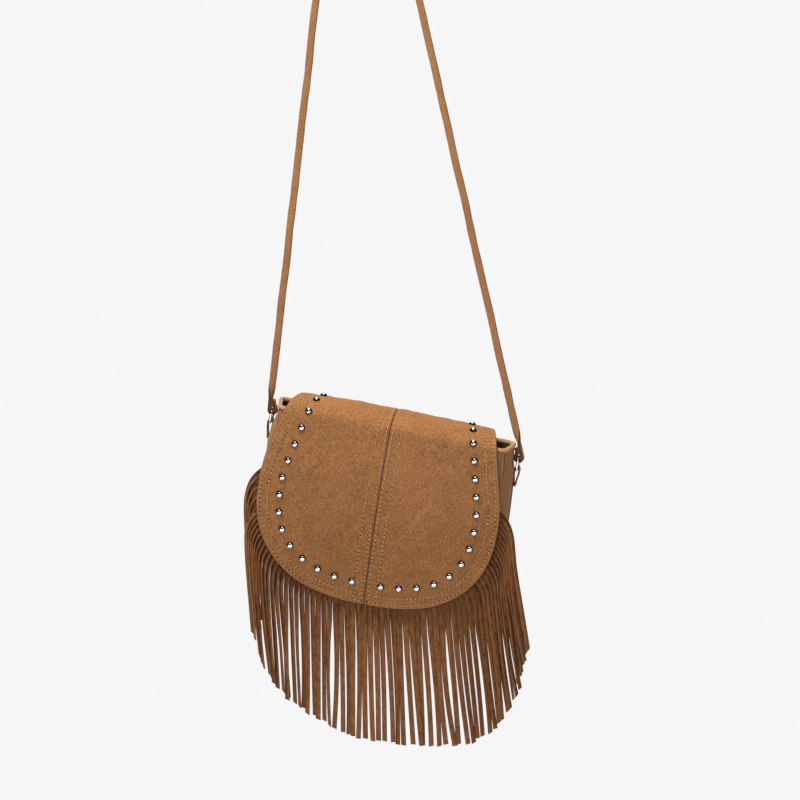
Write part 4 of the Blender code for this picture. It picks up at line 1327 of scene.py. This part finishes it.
def add_flap_lining():
    flat = flap_pattern(FLAP_LINING_INSET, 0.0, 110, 44)
    both = np.concatenate([flat[:, :0:-1] * (-1, 1), flat], axis=1)
    x, along = both[..., 0], both[..., 1]
    outer = flap_place(x, along, -CLEARANCE / 2)
    inner = flap_place(x, along, -FLAP_INSIDE)
    shape = Shape()
    add_skin(shape, outer[::-1], inner[::-1])
    piece = shape.finish("flap_lining_cloth", CLOTH, "flap", ["flap_lining"])


def flap_rows_of_holes():
    edge = flap_edge()
    run = directions(edge)
    inward = np.stack([-run[:, 1], run[:, 0]], axis=1)
    rows = []
    for inset in EDGE_ROWS:
        line = edge + inward * inset
        line = line[line[:, 0] > 0]
        rows.append(line)
    for inset in SEAM_ROWS:
        along = np.linspace(-FLAP_CREST_AT, FLAP_LENGTH - 0.004, 60)
        rows.append(np.stack([np.full(60, inset), along], axis=1))
    return rows


def add_flap_stitching():
    shape = Shape()
    for side in (-1, 1):
        for line in flap_rows_of_holes():
            flat = resample(line, int(measure(line)[-1] / STITCH_PITCH)) * (side, 1)
            holes = flap_place(flat[:, 0], flat[:, 1], FLAP_OUTSIDE - ROW_SINK)
            add_stitches(shape, holes, flap_outward(flat[:, 0], flat[:, 1]))
    shape.finish("flap_stitching", THREAD, "flap")


def add_anchor():
    # The flap's end, sewn down on the back panel in two rows
    half = float(flap_half_width(-FLAP_CREST_AT))
    thickness = FLAP_INSIDE + FLAP_OUTSIDE
    x, z = np.meshgrid(np.linspace(-half, half, 120), np.linspace(-CLEARANCE, -ANCHOR_HEIGHT, 24))
    face = BACK_FACE + CLEARANCE + thickness
    lift = uneven(np.stack([x, z], axis=2), height=0.0001, size=0.03, seed=41)
    for row in ANCHOR_ROWS:
        lift = lift - sewn(z + ANCHOR_HEIGHT, row)
    outer = np.stack([x, face + lift, z], axis=2)
    inner = np.stack([x, np.full(x.shape, face - thickness), z], axis=2)
    shape = Shape()
    add_skin(shape, outer[:, ::-1], inner[:, ::-1], bulge=0.25)
    shape.finish("flap_anchor_suede", STRAP_SUEDE, "bag", ["flap_anchor"])
    stitches = Shape()
    reach = half - ANCHOR_ROW_END
    for row in ANCHOR_ROWS:
        line = [(side * reach, face - 0.0001, row - ANCHOR_HEIGHT) for side in (-1, 1)]
        holes = resample(line, int(2 * reach / STITCH_PITCH))
        add_stitches(stitches, holes, always(holes, 0, 1, 0))
    stitches.finish("anchor_stitching", THREAD, "bag")


def flap_axes(x, along, offset):
    # A matrix on the flap with its z axis pointing outward
    step = 0.001
    here = Vector(flap_place(x, along, offset))
    across = Vector(flap_place(x + step, along, offset) - flap_place(x - step, along, offset)).normalized()
    down = Vector(flap_place(x, along + step, offset) - flap_place(x, along - step, offset)).normalized()
    outward = down.cross(across).normalized()
    across = down.cross(outward).normalized()
    return Matrix.Translation(here) @ Matrix((across, outward.cross(across), outward)).transposed().to_4x4()


def stud_profile():
    # A thin pressed dome on a sloped rim, where the prongs go through the suede
    foot = STUD_RADIUS - 0.0001
    dome = STUD_HEIGHT - STUD_RIM
    profile = [(0.0004, 0.0001), (STUD_RADIUS, -0.0001), (STUD_RADIUS + 0.0003, 0.0001), (foot, 0.0006)]
    for angle in np.linspace(0.2, pi / 2, 12)[:-1]:
        profile.append((foot * cos(angle), STUD_RIM + dome * sin(angle)))
    profile.append((0.00005, STUD_HEIGHT))
    return profile


def add_studs():
    for number, (x, along) in enumerate(stud_places(), 1):
        shape = Shape()
        profile = stud_profile()
        # the dome's outer rim is marked for its painted shadow, through the same attribute as the suede's
        # cut edges
        rim = [1.0 if radius > STUD_RADIUS * STUD_RIM_SHADOW_FROM else 0.0 for radius, _ in profile]
        add_turned(shape, profile, 40, flap_axes(x, along, FLAP_OUTSIDE + CLEARANCE / 2), cut=rim)
        shape.finish(f"dome_{number:02d}", METAL, "flap", [f"stud_{number:02d}"])


# The strap, its rings and tabs


def gusset_side(z, y):
    front_y = gusset_front_y(FRONT_MOUTH_HALF, z)
    share = (y - front_y) / (gusset_back_y() - front_y)
    rise = np.sin(np.minimum(-z / WIDE_DROP, 1) * pi / 2)
    front = mix(FRONT_MOUTH_HALF, FRONT_WIDE_HALF, rise)
    back = mix(BACK_MOUTH_HALF, BACK_WIDE_HALF, rise)
    bulge = GUSSET_BULGE * np.sin(pi * share) * smooth(-z / GUSSET_BULGE_START)
    return mix(front, back, share) - GUSSET_OVERHANG + bulge


def ring_out():
    return float(gusset_side(-RING_DROP - RING_HEIGHT, STRAP_BACK)) + RING_GAP


def ring_centre(side):
    return Vector((side * ring_out(), STRAP_BACK, -RING_DROP - RING_HEIGHT / 2))


def add_ring(name, side):
    centre = np.array(ring_centre(side))
    a, b = RING_WIDTH / 2 - RING_CORNER, RING_HEIGHT / 2 - RING_CORNER
    points = []
    for quarter, (y, z) in enumerate(((a, b), (-a, b), (-a, -b), (a, -b))):
        for angle in np.linspace(quarter * pi / 2, (quarter + 1) * pi / 2, 9):
            points.append((0.0, y + RING_CORNER * cos(angle), z + RING_CORNER * sin(angle)))
    line = resample(np.array(points + points[:1]), 97)[:-1]
    run = directions(line, closed=True)
    aside = always(line, 1, 0, 0)
    shape = Shape()
    add_sweep(shape, line + centre, aside, np.cross(run, aside), round_section(RING_WIRE), closed=True)
    shape.finish(f"{name}_wire", METAL, "bag", [name])


def tab_line(side, steps=14):
    bar = ring_centre(side) - Vector((0, 0, RING_HEIGHT / 2))
    turn = RING_WIRE + CLEARANCE + TAB_THICKNESS / 2
    line = []
    for i in range(steps):
        z = bar.z - RING_WIRE - TAB_LENGTH * (1 - i / steps)
        seat = float(gusset_side(z, bar.y)) + 2 * CLEARANCE + TAB_THICKNESS / 2
        rise = float(smooth(i / (steps - 1)))
        line.append((side * mix(seat, ring_out() - turn, rise ** 2), bar.y, z))
    apart = TAB_THICKNESS + CLEARANCE
    outside = []
    for i, (x, y, z) in enumerate(line):
        outside.append((x + side * mix(apart, 2 * turn, float(smooth(i / (steps - 1)))), y, z))
    for angle in np.linspace(pi, 0, steps + 1):
        line.append((bar.x + side * turn * cos(angle), bar.y, bar.z + turn * sin(angle)))
    return np.array(line + outside[::-1])


def sweep_axes(line, turned):
    # Across and through directions along a line in an x-z plane, where turned is 1 the width lies along Y
    along = directions(line)
    flat = np.stack([-along[:, 2], np.zeros(len(line)), along[:, 0]], axis=1)
    angle = pi / 2 * np.asarray(turned)[:, None]
    across = flat * np.cos(angle) + np.array([0.0, 1.0, 0.0]) * np.sin(angle)
    return across, np.cross(along, across)


def add_cross_row(shape, place, reach, out):
    # Two stitches across a narrow strip
    holes = place + np.array([(0, -reach, 0), (0, 0, 0), (0, reach, 0)])
    add_stitches(shape, holes, always(holes, *out))


def add_tab(name, side):
    line = tab_line(side)
    across, through = sweep_axes(line, np.ones(len(line)))
    section, cut = rounded_section(TAB_WIDTH, TAB_THICKNESS, TAB_THICKNESS * 0.35)
    shape = Shape()
    add_sweep(shape, line, across, through, section, cut=cut)
    shape.finish(f"{name}_suede", STRAP_SUEDE, "bag", [name], sharp=50)
    stitches = Shape()
    outer = line[-5:-1].mean(axis=0) + np.array([side * TAB_THICKNESS / 2, 0.0, 0.0])
    add_cross_row(stitches, outer, TAB_WIDTH / 2 - TAB_ROW_END, (side, 0, 0))
    stitches.finish(f"{name}_stitching", THREAD, "bag")


def strap_end(side, return_steps=14, turn_steps=16):
    # One strand in world space from its stitched end, round the ring's upper bar and up towards the peg
    bar = BAG @ (ring_centre(side) + Vector((0, 0, RING_HEIGHT / 2)))
    top = Vector((0, 0, -PEG_RADIUS))
    radius = PEG_RADIUS + STRAP_THICKNESS / 2
    turn = RING_WIRE + CLEARANCE + STRAP_THICKNESS / 2
    reach = top - bar
    lean = atan2(-side * reach.x, reach.z) - asin((radius - turn) / reach.length)
    up = Vector((-side * sin(lean), 0, cos(lean)))
    out = Vector((side * cos(lean), 0, sin(lean)))
    apart = STRAP_THICKNESS + CLEARANCE
    line = []
    for i in range(return_steps):
        share = i / return_steps
        gap = mix(apart, 2 * turn, float(smooth(share)) ** 2)
        line.append(bar + up * STRAP_RETURN * (1 - share) + out * (turn - gap))
    for i in range(turn_steps + 1):
        angle = pi - pi * i / turn_steps
        line.append(bar + out * turn * cos(angle) - up * turn * sin(angle))
    tangent = top + out * radius
    return line, bar + out * turn, tangent, lean, up, out


def strap_line(strand_steps=130, peg_steps=28):
    right, right_foot, right_top, right_lean, _, _ = strap_end(1)
    left, left_foot, left_top, left_lean, _, _ = strap_end(-1)
    line = list(right)
    for i in range(1, strand_steps):
        line.append(mix(right_foot, right_top, (i / strand_steps) ** 1.3))
    radius = PEG_RADIUS + STRAP_THICKNESS / 2
    for i in range(peg_steps + 1):
        angle = mix(right_lean, pi - left_lean, i / peg_steps)
        line.append(Vector((0, 0, -PEG_RADIUS)) + Vector((cos(angle), 0, sin(angle))) * radius)
    for i in range(strand_steps - 1, 0, -1):
        line.append(mix(left_foot, left_top, (i / strand_steps) ** 1.3))
    line += left[::-1]
    return np.array([tuple(point) for point in line]), len(right), len(left)


def add_strap():
    line, first, last = strap_line()
    distances = measure(line)
    start, end = distances[first - 1], distances[-last]
    from_ring = np.minimum(distances - start, end - distances)
    from_top = np.abs(distances - (start + end) / 2)
    at_ring = 1 - smooth((from_ring - STRAP_RETURN) / STRAP_TURN)
    at_peg = 1 - smooth((from_top - 2 * PEG_RADIUS) / STRAP_TOP_TWIST)
    turned = np.maximum(at_ring, at_peg)
    loose = smooth((from_ring - STRAP_LOOSE_FROM_RING) / STRAP_LOOSE_EASE)
    loose = loose * smooth((from_top - STRAP_LOOSE_FROM_TOP) / STRAP_LOOSE_EASE)
    turned = turned + uneven(distances[:, None], height=0.045, size=0.13, seed=51) * loose
    across, through = sweep_axes(line, turned)
    line = line + across * (uneven(distances[:, None], height=0.0003, size=0.08, seed=52) * loose)[:, None]
    section, cut = rounded_section(STRAP_WIDTH, STRAP_THICKNESS, 0.0009, steps=3)
    sections = np.tile(section, (len(line), 1, 1))
    sections *= (1 + uneven(distances[:, None], height=0.035, size=0.03, seed=53))[:, None, None]
    sections[..., 1] *= (1 + 0.3 * at_ring)[:, None]
    shape = Shape()
    add_sweep(shape, line, across, through, sections, cut=cut)
    shape.finish("strap_suede", STRAP_SUEDE, "bag", ["strap"], matrix=Matrix(), sharp=50)
    stitches = Shape()
    for side in (-1, 1):
        _, foot, _, _, up, out = strap_end(side)
        place = np.array(foot + up * STRAP_RETURN * 0.72 + out * STRAP_THICKNESS * 0.5)
        add_cross_row(stitches, place, STRAP_WIDTH / 2 - STRAP_ROW_END, out)
    stitches.finish("strap_stitching", THREAD, "bag", matrix=Matrix())


# The studio


def camera_axes():
    azimuth, elevation, roll = radians(CAMERA_AZIMUTH), radians(CAMERA_ELEVATION), radians(CAMERA_ROLL)
    back = Vector((sin(azimuth) * cos(elevation), -cos(azimuth) * cos(elevation), sin(elevation)))
    level = Vector((cos(azimuth), sin(azimuth), 0))
    rise = back.cross(level)
    across = level * cos(roll) + rise * sin(roll)
    up = rise * cos(roll) - level * sin(roll)
    return across, up, back


def add_camera():
    across, up, back = camera_axes()
    target = Vector(CAMERA_AIM) + across * CAMERA_ACROSS + up * CAMERA_ABOVE
    data = bpy.data.cameras.new("camera")
    data.lens = CAMERA_LENS
    data.clip_end = 100
    camera = bpy.data.objects.new("camera", data)
    bpy.context.scene.collection.objects.link(camera)
    turn = Matrix((across, up, back)).transposed().to_4x4()
    camera.matrix_world = Matrix.Translation(target + back * CAMERA_DISTANCE) @ turn
    bpy.context.scene.camera = camera


def add_lamp(name, location, size, power):
    data = bpy.data.lights.new(name, "AREA")
    data.shape = "DISK"
    data.size = size
    data.energy = power
    lamp = bpy.data.objects.new(name, data)
    bpy.context.scene.collection.objects.link(lamp)
    lamp.location = location
    lamp.rotation_euler = (Vector(LAMPS_AIM) - Vector(location)).to_track_quat("-Z", "Y").to_euler()
    lamp.visible_glossy = False


def add_lamps():
    add_lamp("top_softbox", (-0.35, -0.6, 1.3), size=0.9, power=47)
    add_lamp("front_fill", (0.3, -3.0, 0.3), size=2.0, power=24)
    add_lamp("back_fill", (-0.4, 2.6, 0.2), size=2.0, power=26)


def add_world():
    # Plain grey light, a white backdrop, and for the metal a dark studio in front with bright panels
    world = bpy.data.worlds.new("studio")
    bpy.context.scene.world = world
    world.use_nodes = True
    tree = Nodes(world.node_tree)
    tree.nodes.clear()
    output = tree.nodes.new("ShaderNodeOutputWorld")
    path = tree.nodes.new("ShaderNodeLightPath").outputs
    place = tree.nodes.new("ShaderNodeTexCoord").outputs["Generated"]

    def panel(direction, inner, outer, strength):
        # A bright round panel in that direction, soft between the two angles from its middle
        dot = tree.nodes.new("ShaderNodeVectorMath")
        dot.operation = "DOT_PRODUCT"
        tree.links.new(place, dot.inputs[0])
        dot.inputs[1].default_value = Vector(direction).normalized()
        return tree.remap(dot.outputs["Value"], cos(radians(outer)), cos(radians(inner)), 0.0, strength)

    def background(colour, strength):
        node = tree.nodes.new("ShaderNodeBackground")
        node.inputs["Color"].default_value = (*colour, 1)
        tree.feed(node.inputs["Strength"], strength)
        return node.outputs[0]

    def mixed(share, a, b):
        node = tree.nodes.new("ShaderNodeMixShader")
        for socket, value in zip(node.inputs, (share, a, b)):
            tree.links.new(value, socket)
        return node.outputs[0]

    bright = tree.largest([
        panel((0.05, -0.78, -0.62), inner=40, outer=45, strength=2.8),
        panel((0.12, -0.5, 0.86), inner=14, outer=19, strength=2.6),
        panel((0.8, -0.6, -0.05), inner=13, outer=18, strength=2.0),
        panel((-0.55, -0.8, -0.2), inner=10, outer=15, strength=1.8),
        panel((0.0, 0.42, 0.9), inner=20, outer=28, strength=2.2),
    ])
    photographer = panel((-0.12, -0.97, 0.06), inner=13, outer=19, strength=1.0)
    bright = tree.math("MULTIPLY", bright, tree.math("SUBTRACT", 1.0, photographer))
    mirrored = background((1.0, 1.0, 1.0), tree.total(bright, 0.006))
    lit = mixed(path["Is Glossy Ray"], background((1.0, 1.0, 1.0), 0.4), mirrored)
    seen = tree.largest([path["Is Camera Ray"], path["Is Transmission Ray"]])
    tree.links.new(mixed(seen, lit, background(tone(*BACKDROP), 1.0)), output.inputs["Surface"])


def add_floor():
    # A pale round floor under the hanging bag that fades out before it would show behind it
    mesh = bpy.data.meshes.new("floor")
    angles = 2 * pi * np.arange(64) / 64
    radius, height = 2.2, -1.6
    rim = [(radius * cos(a), radius * sin(a), height) for a in angles]
    mesh.from_pydata(rim, [], [list(range(64))])
    floor = bpy.data.objects.new("floor", mesh)
    bpy.context.scene.collection.objects.link(floor)
    finish = Finish("pale_floor", "suede")
    finish.put("Base Color", tone(236, 236, 236))
    finish.put("Roughness", 0.9)
    gradient = finish.nodes.new("ShaderNodeTexGradient")
    gradient.gradient_type = "SPHERICAL"
    flat = finish.stretched((1 / radius, 1 / radius, 0))
    finish.links.new(flat, gradient.inputs["Vector"])
    finish.put("Alpha", finish.remap(gradient.outputs["Fac"], 0.02, 0.4))
    mesh.materials.append(finish.material)


def dress_snap():
    for name in ("snap_socket", "snap_stud"):
        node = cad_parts[name]
        node.data.materials.clear()
        node.data.materials.append(METAL)
        rounding = node.modifiers.new("rounding", "BEVEL")
        rounding.width = SNAP_ROUNDING
        rounding.segments = 2
        rounding.limit_method = "ANGLE"


def main():
    add_camera()
    add_panel("front", front_side(), front_face, -1, front_relief)
    add_panel("back", back_side(), back_face, 1, back_relief)
    add_gusset()
    add_lining()
    rim_loop, rim_out = add_mouth_rim()
    add_body_stitching(rim_loop, rim_out)
    add_fringe()
    add_anchor()
    add_flap_half("flap_left_suede", -1, "flap_left")
    add_flap_half("flap_right_suede", 1, "flap_right")
    add_flap_lining()
    add_flap_stitching()
    add_studs()
    dress_snap()
    for side, end in ((-1, "left"), (1, "right")):
        add_ring(f"ring_{end}", side)
        add_tab(f"tab_{end}", side)
    add_strap()
    add_lamps()
    add_world()
    add_floor()
    bpy.context.scene.view_settings.view_transform = "Standard"


main()
